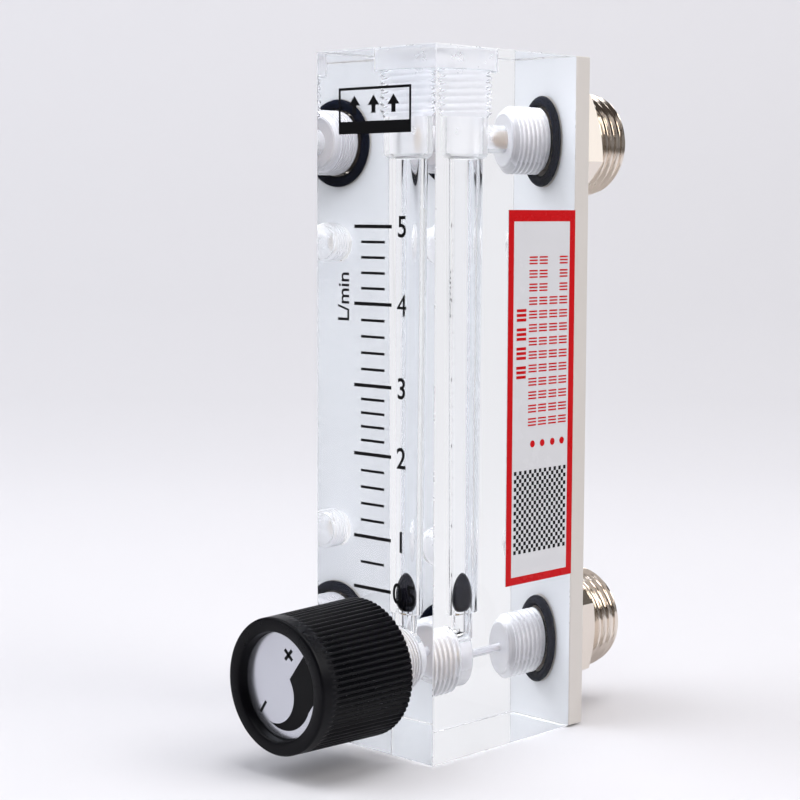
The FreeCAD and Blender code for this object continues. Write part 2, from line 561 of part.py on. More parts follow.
# Knob: tapered skirt with fine grooves, hollow behind, a boss for the insert,
# a stepped hole for the screw and a recess for the disc.
def make_knob():
    rear_r = "dim.knob_rear / 2"
    front_r = "dim.knob_front / 2"
    rim_r = "dim.knob_rim / 2"
    hollow_r = "dim.knob_rear / 2 - dim.knob_wall"
    floor = "dim.knob_long - dim.dial_sink - dim.dial_thick"
    pocket = floor + " - dim.screw_pocket_deep"
    dial_r = "dim.dial_dia / 2 + dim.fit_room"
    body = turned("valve_knob_body", [
        (hollow_r, "0"), (rear_r + " - dim.fine_bevel", "0"), (rear_r, "dim.fine_bevel"),
        (front_r, "dim.knob_long - dim.knob_edge"), (rim_r, "dim.knob_long"),
        (dial_r, "dim.knob_long"), (dial_r, floor), ("dim.screw_pocket / 2", floor),
        ("dim.screw_pocket / 2", pocket), ("dim.screw_pass / 2", pocket),
        ("dim.screw_pass / 2", CAVITY), ("dim.insert_dia / 2", CAVITY),
        ("dim.insert_dia / 2", "dim.hub_start"), ("dim.hub_dia / 2", "dim.hub_start"),
        ("dim.hub_dia / 2", CAVITY),
        (hollow_r + " - dim.knob_draft", CAVITY)])

    # one tapered groove, repeated round the skirt
    rib_end = "dim.knob_long - dim.knob_band"
    slope = "(%s - %s) / (dim.knob_long - dim.knob_edge)" % (rear_r, front_r)
    sections = []
    for name, radius, height in (
            ("rib_rear", rear_r, "0"),
            ("rib_front", "%s - (%s) * (%s)" % (rear_r, slope, rib_end), rib_end)):
        sketch = new_sketch(body, name, "XY_Plane")
        tie(sketch, AttachmentOffset__Base__z=height)
        draw_outline(sketch, [
            (radius + " - dim.rib_depth", "0"),
            (radius + " + dim.rib_depth", "-dim.rib_half * 2"),
            (radius + " + dim.rib_depth", "dim.rib_half * 2")])
        sections.append(sketch)
    cut = body.newObject("PartDesign::SubtractiveLoft", "rib_cut")
    cut.Profile = sections[0]
    cut.Sections = [sections[1]]
    cut.Ruled = True
    body.Tip = cut
    doc.recompute()
    ring = body.newObject("PartDesign::PolarPattern", "rib_ring")
    ring.Originals = [cut]
    ring.Axis = (origin_plane(body, "Z_Axis"), [""])
    ring.Angle = 360
    tie(ring, Occurrences="dim.rib_count")
    body.Tip = ring
    knob_y = "-dim.block_depth / 2 - dim.knob_gap"
    put(body, TO_FRONT, "0", knob_y, "dim.port_low")
    keep(body, "valve_knob")

    # brass insert with a flatted hole and two grooves that the plastic grips
    insert_r = "dim.insert_dia / 2"
    grip_r = "dim.insert_dia / 2 - dim.insert_groove"
    length = CAVITY + " - dim.hub_start"
    outline = [("0", "0"), (insert_r, "0")]
    for share in (1, 2):
        middle = "(%s) * %d / 3" % (length, share)
        outline += [(insert_r, middle + " - dim.insert_groove_wide / 2"),
                    (grip_r, middle + " - dim.insert_groove_wide / 4"),
                    (grip_r, middle + " + dim.insert_groove_wide / 4"),
                    (insert_r, middle + " + dim.insert_groove_wide / 2")]
    outline += [(insert_r, length), ("0", length)]
    insert = turned("knob_insert_body", outline)
    form(insert, "SubtractiveCylinder", "insert_hole",
         Radius="dim.drive_dia / 2 + dim.fit_room", Height=length)
    form(insert, "AdditiveBox", "insert_flat", x="dim.drive_flat + dim.fit_room",
         y="-dim.drive_dia / 4",
         Length="dim.drive_dia / 2 - dim.drive_flat + dim.insert_flat_over",
         Width="dim.drive_dia / 2", Height=length)
    put(insert, TO_FRONT, "0", knob_y + " - dim.hub_start", "dim.port_low")
    keep(insert, "knob_insert")

    # screw through the knob's web into the stem, with its washer
    head_low = "dim.screw_long"
    head_end = head_low + " + dim.screw_head_thick"
    screw = turned("knob_screw_body", [
        ("0", "0"), ("dim.screw_dia / 2 - dim.fine_bevel", "0"),
        ("dim.screw_dia / 2", "dim.fine_bevel"),
        ("dim.screw_dia / 2", head_low), ("dim.screw_head / 2", head_low),
        ("dim.screw_head / 2", head_end + " - dim.small_bevel"),
        ("dim.screw_head / 2 - dim.small_bevel", head_end), ("0", head_end)])
    for name, long_x, long_y in (("cross_one", "dim.cross_long", "dim.cross_wide"),
                                 ("cross_two", "dim.cross_wide", "dim.cross_long")):
        form(screw, "SubtractiveBox", name, low=head_end + " - dim.cross_deep",
             x="-%s / 2" % long_x, y="-%s / 2" % long_y, Length=long_x, Width=long_y,
             Height="dim.cross_deep * 2")
    screw_y = "%s - (%s + dim.knob_washer_thick - dim.screw_long)" % (knob_y, pocket)
    put(screw, TO_FRONT, "0", screw_y, "dim.port_low")
    keep(screw, "knob_screw")
    washer_r = "dim.screw_pocket / 2 - dim.fit_room * 2"
    washer = turned("knob_washer_body", [
        ("dim.screw_dia / 2 + dim.fit_room", "0"), (washer_r, "0"),
        (washer_r, "dim.knob_washer_thick"),
        ("dim.screw_dia / 2 + dim.fit_room", "dim.knob_washer_thick")])
    put(washer, TO_FRONT, "0", "%s - (%s)" % (knob_y, pocket), "dim.port_low")
    keep(washer, "knob_washer")

    # disc pressed into the front recess
    dial = turned("knob_dial_body", [
        ("0", "0"), ("dim.dial_dia / 2", "0"), ("dim.dial_dia / 2", "dim.dial_thick - dim.dial_fall"),
        ("dim.dial_dia / 2 - dim.dial_slope", "dim.dial_thick"), ("0", "dim.dial_thick")])
    put(dial, TO_FRONT, "0", "%s - (%s)" % (knob_y, floor), "dim.port_low")
    keep(dial, "knob_dial")


make_block()
make_plate()
make_fitting("outlet_fitting", TOP_PORT, "dim.hex_turn_top")
make_fitting("inlet_fitting", "dim.port_low", "dim.hex_turn_low")
for seal_name, seal_height in (("outlet_seal", TOP_PORT), ("inlet_seal", "dim.port_low")):
    seal_ring(seal_name, "(dim.recess_dia - dim.seal_room - dim.seal_section) / 2",
              "dim.seal_section", TO_BACK, BACK_FACE + " - dim.recess_depth / 2", seal_height)
make_float()
make_plug()
bonnet_inner, bonnet_pocket = make_bonnet()
make_stem(bonnet_inner, bonnet_pocket)
make_knob()
keep(brick("side_label_sheet", "dim.label_thick", "dim.label_wide", "dim.label_tall",
           "dim.block_width / 2", BACK_FACE + " - dim.label_wide", "dim.label_low"), "side_label")

doc.recompute()

# Every object must have worked, and every piece must be one valid solid.
for item in doc.Objects:
    if "Invalid" in item.State or "Error" in item.State:
        raise RuntimeError("failed: " + item.Name)
for piece in nodes:
    shape = piece.Shape
    if shape.isNull() or not shape.isValid() or len(shape.Solids) != 1:
        raise RuntimeError("bad shape: " + piece.Label)

os.makedirs("parts", exist_ok=True)
for piece in nodes:
    piece.Shape.exportStep("parts/%s.step" % piece.Label)
    box = piece.Shape.BoundBox
    print("%-16s %9.1f mm3   x %6.2f %6.2f   y %6.2f %6.2f   z %6.2f %6.2f" % (
        piece.Label, piece.Shape.Volume, box.XMin, box.XMax, box.YMin, box.YMax,
        box.ZMin, box.ZMax))
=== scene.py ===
import bmesh
import bpy
import math
from functools import partial
from mathutils import Matrix, Vector


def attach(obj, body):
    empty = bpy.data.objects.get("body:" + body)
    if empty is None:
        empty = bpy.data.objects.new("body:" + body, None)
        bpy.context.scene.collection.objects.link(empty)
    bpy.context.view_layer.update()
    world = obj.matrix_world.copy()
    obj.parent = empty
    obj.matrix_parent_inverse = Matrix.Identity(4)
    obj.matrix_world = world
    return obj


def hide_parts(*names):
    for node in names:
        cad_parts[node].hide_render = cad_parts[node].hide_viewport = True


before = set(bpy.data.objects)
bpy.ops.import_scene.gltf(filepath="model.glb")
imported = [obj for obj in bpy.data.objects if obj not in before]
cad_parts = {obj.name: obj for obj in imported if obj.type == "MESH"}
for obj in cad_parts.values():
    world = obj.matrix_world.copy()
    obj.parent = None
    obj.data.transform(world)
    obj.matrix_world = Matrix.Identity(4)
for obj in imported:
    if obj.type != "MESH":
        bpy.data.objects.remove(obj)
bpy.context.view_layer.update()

from types import SimpleNamespace

# Panel flow meter. Shapes are drawn in millimetres and scaled once, when a piece is finished.
mm = 0.001
tan30 = 0.577  # thread flanks and the chamfers on hexagons
scene = bpy.context.scene

turnUp = Matrix.Identity(4)
turnBack = Matrix.Rotation(math.radians(-90), 4, "X")    # a piece's own Z looks along +Y
turnFront = Matrix.Rotation(math.radians(90), 4, "X")    # a piece's own Z looks along -Y

# sizes that several pieces share
block = {"width": 23.5, "depth": 30.0, "height": 100.0, "edge": 0.15}
ports = {"low": 12.7, "top": 87.7}
panelHoles = (28.05, 72.55)
boreY = -2.5
front = -block["depth"] / 2
back = block["depth"] / 2
side = block["width"] / 2
print("frame loaded:", len(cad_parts), "CAD nodes")


# node helpers
def feed(tree, socket, value):
    if isinstance(value, bpy.types.NodeSocket):
        tree.links.new(value, socket)
    else:
        socket.default_value = value


def addNode(tree, kind, setup=None, **values):
    # a node with its settings, then its inputs; an underscore stands for a space
    node = tree.nodes.new(kind)
    for key, value in (setup or {}).items():
        setattr(node, key, value)
    for label, value in values.items():
        feed(tree, node.inputs[label.replace("_", " ")], value)
    return node


def calc(tree, operation, *values):
    node = tree.nodes.new("ShaderNodeMath")
    node.operation = operation
    for socket, value in zip(node.inputs, values):
        feed(tree, socket, value)
    return node.outputs[0]


rules = {"add": "ADD", "less": "SUBTRACT", "times": "MULTIPLY", "over": "DIVIDE",
         "least": "MINIMUM", "most": "MAXIMUM"}


def sums(tree):
    # arithmetic inside a tree, so that it reads as plain calls
    return SimpleNamespace(**{word: partial(calc, tree, rule) for word, rule in rules.items()})


def clamped(tree, value, low=0.0, high=1.0):
    return sums(tree).least(sums(tree).most(value, low), high)


socketKinds = {float: "NodeSocketFloat", int: "NodeSocketInt", tuple: "NodeSocketColor",
               type(None): "NodeSocketMaterial"}


def openTree(name, kind, inputs, outputs):
    # a node group; each input takes its kind from its default value
    tree = bpy.data.node_groups.new(name, kind)
    for label, value in inputs.items():
        socket = tree.interface.new_socket(name=label, in_out="INPUT",
                                           socket_type=socketKinds[type(value)])
        if value is not None:
            socket.default_value = value
    for label, socketKind in outputs.items():
        tree.interface.new_socket(name=label, in_out="OUTPUT", socket_type=socketKind)
    given = tree.nodes.new("NodeGroupInput").outputs
    wanted = tree.nodes.new("NodeGroupOutput").inputs
    return tree, given, wanted


def objectPlace(tree):
    return tree.nodes.new("ShaderNodeTexCoord").outputs["Object"]


def mixColors(tree, blend, factor, first, second):
    mix = addNode(tree, "ShaderNodeMix", {"data_type": "RGBA", "blend_type": blend},
                  Factor=factor, A=first, B=second)
    return mix.outputs["Result"]


def mixShaders(tree, share, first, second):
    mix = addNode(tree, "ShaderNodeMixShader", Fac=share)
    tree.links.new(first, mix.inputs[1])
    tree.links.new(second, mix.inputs[2])
    return mix.outputs["Shader"]


# finishes
def smudgeGroup():
    # soft uneven gloss, as handling leaves it
    tree, given, wanted = openTree("softSmudges", "ShaderNodeTree", {
        "Size": 60.0, "Low": 0.2, "High": 0.3}, {"Roughness": "NodeSocketFloat"})
    noise = addNode(tree, "ShaderNodeTexNoise", Vector=objectPlace(tree), Scale=given["Size"],
                    Detail=5.0, Roughness=0.6)
    gloss = addNode(tree, "ShaderNodeMapRange", Value=noise.outputs["Fac"], From_Min=0.35,
                    From_Max=0.7, To_Min=given["Low"], To_Max=given["High"])
    feed(tree, wanted["Roughness"], gloss.outputs["Result"])
    return tree


def grainGroup():
    # fine surface grain for a bump, and a slow shift in tone
    tree, given, wanted = openTree("fineGrain", "ShaderNodeTree", {
        "Size": 3000.0, "Tone": (0.5, 0.5, 0.5, 1), "Shade": (0.4, 0.4, 0.4, 1),
        "Tone Size": 40.0}, {"Height": "NodeSocketFloat", "Color": "NodeSocketColor"})
    place = objectPlace(tree)
    fine = addNode(tree, "ShaderNodeTexNoise", Vector=place, Scale=given["Size"], Detail=3.0)
    slow = addNode(tree, "ShaderNodeTexNoise", Vector=place, Scale=given["Tone Size"], Detail=4.0)
    feed(tree, wanted["Height"], fine.outputs["Fac"])
    feed(tree, wanted["Color"], mixColors(tree, "MIX", slow.outputs["Fac"], given["Shade"],
                                          given["Tone"]))
    return tree


def toolMarkGroup():
    # fine rings left by the turning tool, across the Y axis of the meter
    tree, given, wanted = openTree("toolMarks", "ShaderNodeTree", {"Rings": 9000.0},
                                   {"Height": "NodeSocketFloat"})
    wave = addNode(tree, "ShaderNodeTexWave", {"bands_direction": "Y"}, Vector=objectPlace(tree),
                   Scale=given["Rings"], Distortion=1.5, Detail=3.0)
    feed(tree, wanted["Height"], wave.outputs["Fac"])
    return tree


softSmudges = smudgeGroup()
fineGrain = grainGroup()
toolMarks = toolMarkGroup()


def addGroup(tree, group, **values):
    return addNode(tree, "ShaderNodeGroup", {"node_tree": group}, **values).outputs


def newFinish(name, **sockets):
    # a Principled material with plain values on its own sockets
    finish = bpy.data.materials.new(name)
    finish.use_nodes = True
    shader = finish.node_tree.nodes["Principled BSDF"]
    for label, value in sockets.items():
        shader.inputs[label.replace("_", " ")].default_value = value
    return finish, finish.node_tree, shader


def addBump(tree, shader, height, strength, distance):
    bump = addNode(tree, "ShaderNodeBump", Strength=strength, Distance=distance, Height=height)
    tree.links.new(bump.outputs["Normal"], shader.inputs["Normal"])


def addSmudges(tree, shader, size, low, high):
    gloss = addGroup(tree, softSmudges, Size=size, Low=low, High=high)
    tree.links.new(gloss["Roughness"], shader.inputs["Roughness"])


def clearFinish(name, settings):
    # clear plastic; lamps shine through it, so that what it holds is lit
    finish, tree, shader = newFinish(
        name, Base_Color=settings["tint"], IOR=settings.get("index", 1.49),
        Transmission_Weight=settings["clear"], Specular_Tint=settings.get("mirror", (1, 1, 1, 1)))
    addSmudges(tree, shader, settings["smudge"], settings["low"], settings["high"])
    if "grain" in settings:
        grain = addGroup(tree, fineGrain, Size=settings["grain"])
        addBump(tree, shader, grain["Height"], settings["bump"], 0.00005)
    through = addNode(tree, "ShaderNodeBsdfTransparent", Color=settings["shadow"])
    light = tree.nodes.new("ShaderNodeLightPath").outputs
    mix = mixShaders(tree, light["Is Shadow Ray"], shader.outputs["BSDF"], through.outputs["BSDF"])
    tree.links.new(mix, tree.nodes["Material Output"].inputs["Surface"])
    return finish


def solidFinish(name, settings):
    # the rest: plastic, metal, rubber, film and ink; a glow setting paints light onto the surface
    # as emission
    finish, tree, shader = newFinish(
        name, Metallic=settings.get("metal", 0.0), Specular_IOR_Level=settings.get("shine", 0.5),
        Emission_Color=(1, 1, 1, 1), Emission_Strength=settings.get("glow", 0.0))
    grain = addGroup(tree, fineGrain, Size=settings.get("grain", 3000.0), Tone=settings["tone"],
                     Shade=settings["shade"], Tone_Size=60.0)
    tree.links.new(grain["Color"], shader.inputs["Base Color"])
    addSmudges(tree, shader, 120.0, settings["low"], settings["high"])
    height = grain["Height"]
    if "rings" in settings:
        height = addGroup(tree, toolMarks, Rings=settings["rings"])["Height"]
    addBump(tree, shader, height, settings.get("bump", 0.1), 0.00003)
    return finish


polishedAcrylic = clearFinish("polishedAcrylic", {
    "tint": (0.985, 0.99, 1.0, 1), "clear": 1.0, "smudge": 40.0, "low": 0.0, "high": 0.012,
    "mirror": (0.25, 0.25, 0.28, 1), "shadow": (0.975, 0.98, 0.99, 1)})
boredAcrylic = clearFinish("boredAcrylic", {
    "tint": (0.985, 0.99, 1.0, 1), "clear": 1.0, "smudge": 200.0, "low": 0.05, "high": 0.09,
    "mirror": (0.25, 0.25, 0.28, 1), "shadow": (0.96, 0.965, 0.98, 1)})
tappedAcrylic = clearFinish("tappedAcrylic", {
    "tint": (0.72, 0.72, 0.77, 1), "clear": 0.4, "smudge": 300.0, "low": 0.35, "high": 0.55,
    "grain": 2500.0, "bump": 0.2, "shadow": (0.85, 0.86, 0.88, 1)})
reamedAcrylic = clearFinish("reamedAcrylic", {
    "tint": (0.96, 0.96, 0.975, 1), "clear": 0.75, "index": 1.3, "smudge": 200.0, "low": 0.25,
    "high": 0.4, "grain": 2500.0, "bump": 0.15, "shadow": (0.9, 0.91, 0.93, 1)})
sealedAcrylic = clearFinish("sealedAcrylic", {
    "tint": (0.96, 0.96, 0.975, 1), "clear": 0.88, "index": 1.035, "smudge": 200.0, "low": 0.25,
    "high": 0.4, "grain": 2500.0, "bump": 0.15, "shadow": (0.95, 0.96, 0.97, 1)})
clearSilicone = clearFinish("clearSilicone", {
    "tint": (0.95, 0.95, 0.96, 1), "clear": 0.9, "index": 1.05, "smudge": 200.0, "low": 0.3,
    "high": 0.45, "grain": 2500.0, "bump": 0.1, "shadow": (0.93, 0.94, 0.95, 1)})
milledAcrylic = clearFinish("milledAcrylic", {
    "tint": (0.93, 0.95, 0.99, 1), "clear": 0.15, "smudge": 80.0, "low": 0.45, "high": 0.6,
    "grain": 1500.0, "bump": 0.15, "shadow": (0.8, 0.82, 0.85, 1)})
scrapedEdge = clearFinish("scrapedEdge", {
    "tint": (0.97, 0.97, 0.99, 1), "clear": 0.7, "smudge": 300.0, "low": 0.25, "high": 0.4,
    "grain": 2500.0, "bump": 0.15, "shadow": (0.9, 0.91, 0.93, 1)})
greasedSeat = clearFinish("greasedSeat", {
    "tint": (1, 1, 1, 1), "clear": 1.0, "index": 1.0, "smudge": 40.0, "low": 0.0, "high": 0.01,
    "shadow": (1, 1, 1, 1)})
ivoryPlastic = solidFinish("ivoryPlastic", {
    "tone": (0.70, 0.66, 0.62, 1), "shade": (0.67, 0.63, 0.59, 1), "low": 0.38, "high": 0.5,
    "bump": 0.12})
brightNickel = solidFinish("brightNickel", {
    "tone": (0.84, 0.77, 0.70, 1), "shade": (0.76, 0.68, 0.60, 1), "metal": 1.0, "low": 0.08,
    "high": 0.16, "rings": 2500.0, "bump": 0.1})
plainBrass = solidFinish("plainBrass", {
    "tone": (0.80, 0.62, 0.33, 1), "shade": (0.70, 0.52, 0.27, 1), "metal": 1.0, "low": 0.2,
    "high": 0.35, "rings": 3000.0, "bump": 0.2})
springSteel = solidFinish("springSteel", {
    "tone": (0.62, 0.62, 0.63, 1), "shade": (0.52, 0.52, 0.53, 1), "metal": 1.0, "low": 0.22,
    "high": 0.35})
nitrileRubber = solidFinish("nitrileRubber", {
    "tone": (0.004, 0.006, 0.014, 1), "shade": (0.003, 0.004, 0.009, 1), "low": 0.2,
    "high": 0.3, "bump": 0.1, "shine": 0.01})
whiteSeal = solidFinish("whiteSeal", {
    "tone": (0.86, 0.86, 0.85, 1), "shade": (0.82, 0.82, 0.81, 1), "low": 0.35, "high": 0.5})
floatPlastic = solidFinish("floatPlastic", {
    "tone": (0.006, 0.006, 0.010, 1), "shade": (0.004, 0.004, 0.007, 1), "low": 0.16,
    "high": 0.26, "bump": 0.04, "shine": 0.03})
knobPlastic = solidFinish("knobPlastic", {
    "tone": (0.004, 0.004, 0.006, 1), "shade": (0.003, 0.003, 0.004, 1), "low": 0.25,
    "high": 0.38, "bump": 0.15, "shine": 0.09})
dialFoil = solidFinish("dialFoil", {
    "tone": (0.61, 0.62, 0.675, 1), "shade": (0.57, 0.58, 0.635, 1), "metal": 0.9, "low": 0.2,
    "high": 0.28, "grain": 5000.0, "bump": 0.08})
printInk = solidFinish("printInk", {
    "tone": (0.004, 0.004, 0.005, 1), "shade": (0.007, 0.007, 0.008, 1), "low": 0.4,
    "high": 0.5, "bump": 0.1, "shine": 0.1})
labelWhite = solidFinish("labelWhite", {
    "tone": (0.72, 0.72, 0.74, 1), "shade": (0.70, 0.70, 0.72, 1), "low": 0.22, "high": 0.32,
    "bump": 0.05, "shine": 0.12})
# painted light: the back of the label film glows, standing in for light that passes through the
# thin film
glowingLabelBack = solidFinish("glowingLabelBack", {
    "tone": (0.8, 0.8, 0.81, 1), "shade": (0.78, 0.78, 0.79, 1), "low": 0.5, "high": 0.6,
    "bump": 0.05, "glow": 0.24})
labelRed = solidFinish("labelRed", {
    "tone": (0.60, 0.003, 0.006, 1), "shade": (0.56, 0.002, 0.005, 1), "low": 0.25,
    "high": 0.35, "bump": 0.05, "shine": 0.12})
print("finishes made:", len(bpy.data.materials))


# mesh helpers, all in millimetres
def placed(mesh, turn, x=0.0, y=0.0, z=0.0):
    mesh.transform(Matrix.Translation((x, y, z)) @ turn)
    return mesh


def closeShape(shape, name):
    bmesh.ops.remove_doubles(shape, verts=shape.verts, dist=1e-5)
    bmesh.ops.dissolve_degenerate(shape, edges=shape.edges, dist=1e-5)
    bmesh.ops.recalc_face_normals(shape, faces=shape.faces)
    mesh = bpy.data.meshes.new(name)
    shape.to_mesh(mesh)
    shape.free()
    return mesh


def turnedSolid(profile, sides=96):
    # closed solid of revolution from (radius, height) points; a ring when none is on the axis
    shape = bmesh.new()
    rings = []
    for radius, height in profile:
        count = 1 if radius == 0 else sides
        rings.append([shape.verts.new((radius * math.cos(2 * math.pi * k / count),
                                       radius * math.sin(2 * math.pi * k / count), height))
                      for k in range(count)])
    pairs = list(zip(rings, rings[1:]))
    if profile[0][0] > 0:
        pairs.append((rings[-1], rings[0]))
    for lower, upper in pairs:
        for k in range(sides):
            after = (k + 1) % sides
            corners = [lower[k % len(lower)], lower[after % len(lower)],
                       upper[after % len(upper)], upper[k % len(upper)]]
            unique = list(dict.fromkeys(corners))
            if len(unique) > 2:
                shape.faces.new(unique)
    return closeShape(shape, "turned")


def bevelledBox(low, high, edge=0.0):
    shape = bmesh.new()
    bmesh.ops.create_cube(shape, size=1.0)
    middle = (Vector(low) + Vector(high)) / 2
    for vert in shape.verts:
        vert.co = Vector([middle[k] + vert.co[k] * (high[k] - low[k]) for k in range(3)])
    if edge:
        bmesh.ops.bevel(shape, geom=shape.edges, offset=edge, segments=2, profile=0.5,
                        affect="EDGES")
    return closeShape(shape, "box")


def flatSolid(outline, low, high):
    # a plate with any outline of (x, y) points
    shape = bmesh.new()
    lower = [shape.verts.new((x, y, low)) for x, y in outline]
    upper = [shape.verts.new((x, y, high)) for x, y in outline]
    shape.faces.new(lower[::-1])
    shape.faces.new(upper)
    for k in range(len(outline)):
        after = (k + 1) % len(outline)
        shape.faces.new((lower[k], lower[after], upper[after], upper[k]))
    return closeShape(shape, "plate")


def rectangle(left, right, bottom, top, low, high):
    return flatSolid([(left, bottom), (right, bottom), (right, top), (left, top)], low, high)


def plainRod(radius, start, end, sides=96):
    return turnedSolid([(0, start), (radius, start), (radius, end), (0, end)], sides)


def cleaned(mesh, name):
    shape = bmesh.new()
    shape.from_mesh(mesh)
    return closeShape(shape, name)


def arcPoints(centre, radius, start, end, steps):
    # points on an arc, both ends included; angles in degrees
    angles = [math.radians(start + (end - start) * k / steps) for k in range(steps + 1)]
    return [(centre[0] + radius * math.cos(angle), centre[1] + radius * math.sin(angle))
            for angle in angles]


def holder(data):
    item = bpy.data.objects.new(data.name, data)
    scene.collection.objects.link(item)
    return item


def meshOf(item, *others):
    # the item's finished mesh; the item and its helpers go
    mesh = bpy.data.meshes.new_from_object(
        item.evaluated_get(bpy.context.evaluated_depsgraph_get()))
    for spent in (item, *others):
        bpy.data.objects.remove(spent)
    return mesh


def combined(base, tools, operation):
    # joins or cuts closed solids and gives back one closed mesh
    main = holder(base)
    others = [holder(tool) for tool in tools]
    for other in others:
        step = main.modifiers.new("step", "BOOLEAN")
        step.operation = operation
        step.solver = "MANIFOLD"
        step.object = other
    return meshOf(main, *others)


def joined(meshes):
    shape = bmesh.new()
    for mesh in meshes:
        shape.from_mesh(mesh)
    result = bpy.data.meshes.new("joined")
    shape.to_mesh(result)
    shape.free()
    return result


def finishPiece(name, mesh, finishes, body, replaced=(), smooth=20.0, choose=None):
    # choose picks one of the finishes for a face, from the middle of that face
    mesh.materials.clear()
    for finish in finishes:
        mesh.materials.append(finish)
    for face in mesh.polygons:
        face.use_smooth = True
        face.material_index = finishes.index(choose(face.center)) if choose else 0
    mesh.transform(Matrix.Scale(mm, 4))
    mesh.set_sharp_from_angle(angle=math.radians(smooth))
    mesh.name = name
    piece = holder(mesh)
    piece.name = name
    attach(piece, body)
    if replaced:
        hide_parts(*replaced)
    return piece


# geometry trees
def runTree(tree, values):
    item = holder(bpy.data.meshes.new(tree.name))
    modifier = item.modifiers.new(tree.name, "NODES")
    modifier.node_group = tree
    for socket in tree.interface.items_tree:
        if socket.item_type == "SOCKET" and socket.name in values:
            modifier[socket.identifier] = values[socket.name]
    return meshOf(item)


def shapeTree(name, inputs):
    return openTree(name, "GeometryNodeTree", {**inputs, "Material": None},
                    {"Geometry": "NodeSocketGeometry"})


def endTree(tree, geometry, finish, wanted):
    # every tree ends in real geometry with its finish set
    real = addNode(tree, "GeometryNodeRealizeInstances", Geometry=geometry)
    coat = addNode(tree, "GeometryNodeSetMaterial", Geometry=real.outputs["Geometry"],
                   Material=finish)
    tree.links.new(coat.outputs["Geometry"], wanted["Geometry"])


def unrolledGrid(tree, sides, rows):
    # a grid to be rolled up: returns it with its 0..1 places round and along
    grid = addNode(tree, "GeometryNodeMeshGrid", Size_X=1.0, Size_Y=1.0, Vertices_X=sides,
                   Vertices_Y=rows)
    place = tree.nodes.new("GeometryNodeInputPosition").outputs["Position"]
    split = addNode(tree, "ShaderNodeSeparateXYZ", Vector=place).outputs
    do = sums(tree)
    return grid.outputs["Mesh"], do.add(split["X"], 0.5), do.add(split["Y"], 0.5)



def rolledUp(tree, mesh, around, along, radius, height):
    # the first and last rows fall onto the axis and close the ends
    do = sums(tree)
    inside = do.times(calc(tree, "GREATER_THAN", along, 1e-5),
                      calc(tree, "LESS_THAN", along, 1.0 - 1e-5))
    radius = do.times(radius, inside)
    angle = do.times(around, 2 * math.pi)
    point = addNode(tree, "ShaderNodeCombineXYZ", Z=height,
                    X=do.times(radius, calc(tree, "COSINE", angle)),
                    Y=do.times(radius, calc(tree, "SINE", angle)))
    move = addNode(tree, "GeometryNodeSetPosition", Geometry=mesh,
                   Position=point.outputs["Vector"])
    weld = addNode(tree, "GeometryNodeMergeByDistance", Geometry=move.outputs["Geometry"],
                   Distance=1e-4)
    return weld.outputs["Geometry"]


def threadTree():
    # a solid rod with a right-hand screw thread, its rows slanted along the helix
    tree, given, wanted = shapeTree("cutThread", {
        "Root Radius": 4.5, "Crest Radius": 5.0, "Pitch": 1.0, "Length": 6.0, "Root Flat": 0.12,
        "Flank": 0.35, "Start Lead": 9.0, "End Lead": 9.0, "Sides": 96, "Steps": 12})
    do = sums(tree)
    pitch, length = given["Pitch"], given["Length"]
    turns = do.add(calc(tree, "CEIL", do.over(length, pitch)), 2.0)
    rows = do.add(do.times(turns, given["Steps"]), 1.0)
    mesh, around, along = unrolledGrid(tree, do.add(given["Sides"], 1.0), rows)

    # height follows the helix and is held between the rod's ends
    climb = do.add(do.times(along, turns), do.less(around, 1.5))
    height = clamped(tree, do.times(climb, pitch), 0.0, length)

    # thread form: flat root, straight flank, flat crest
    phase = calc(tree, "FRACT", do.less(do.over(height, pitch), around))
    ramp = do.less(1.0, calc(tree, "ABSOLUTE", do.less(do.times(phase, 2.0), 1.0)))
    reach = do.times(do.times(ramp, pitch), 0.5)
    share = clamped(tree, do.over(do.less(reach, given["Root Flat"]), given["Flank"]))
    depth = do.less(given["Crest Radius"], given["Root Radius"])
    radius = do.add(given["Root Radius"], do.times(share, depth))

    # leads: cones that trim the thread at both ends
    startCone = do.add(given["Start Lead"], height)
    endCone = do.add(given["End Lead"], do.less(length, height))
    radius = do.least(radius, do.least(startCone, endCone))
    endTree(tree, rolledUp(tree, mesh, around, along, radius, height), given["Material"], wanted)
    return tree


cutThread = threadTree()
noLead = 99.0  # a lead this wide trims nothing


def threadedRod(root, crest, pitch, length, startLead=noLead, endLead=noLead, sides=96,
                steps=12):
    mesh = runTree(cutThread, {
        "Root Radius": root, "Crest Radius": crest, "Pitch": pitch, "Length": length,
        "Root Flat": pitch * 0.07, "Flank": (crest - root) * tan30, "Start Lead": startLead,
        "End Lead": endLead, "Sides": sides, "Steps": steps, "Material": tappedAcrylic})
    return cleaned(mesh, "thread")


# clear block; its threads are (root radius, crest radius, pitch)
tapped = (4.45, 4.93, 1.0)
threaded = (4.36, 4.84, 1.0)    # the male one leaves a thin gap all along

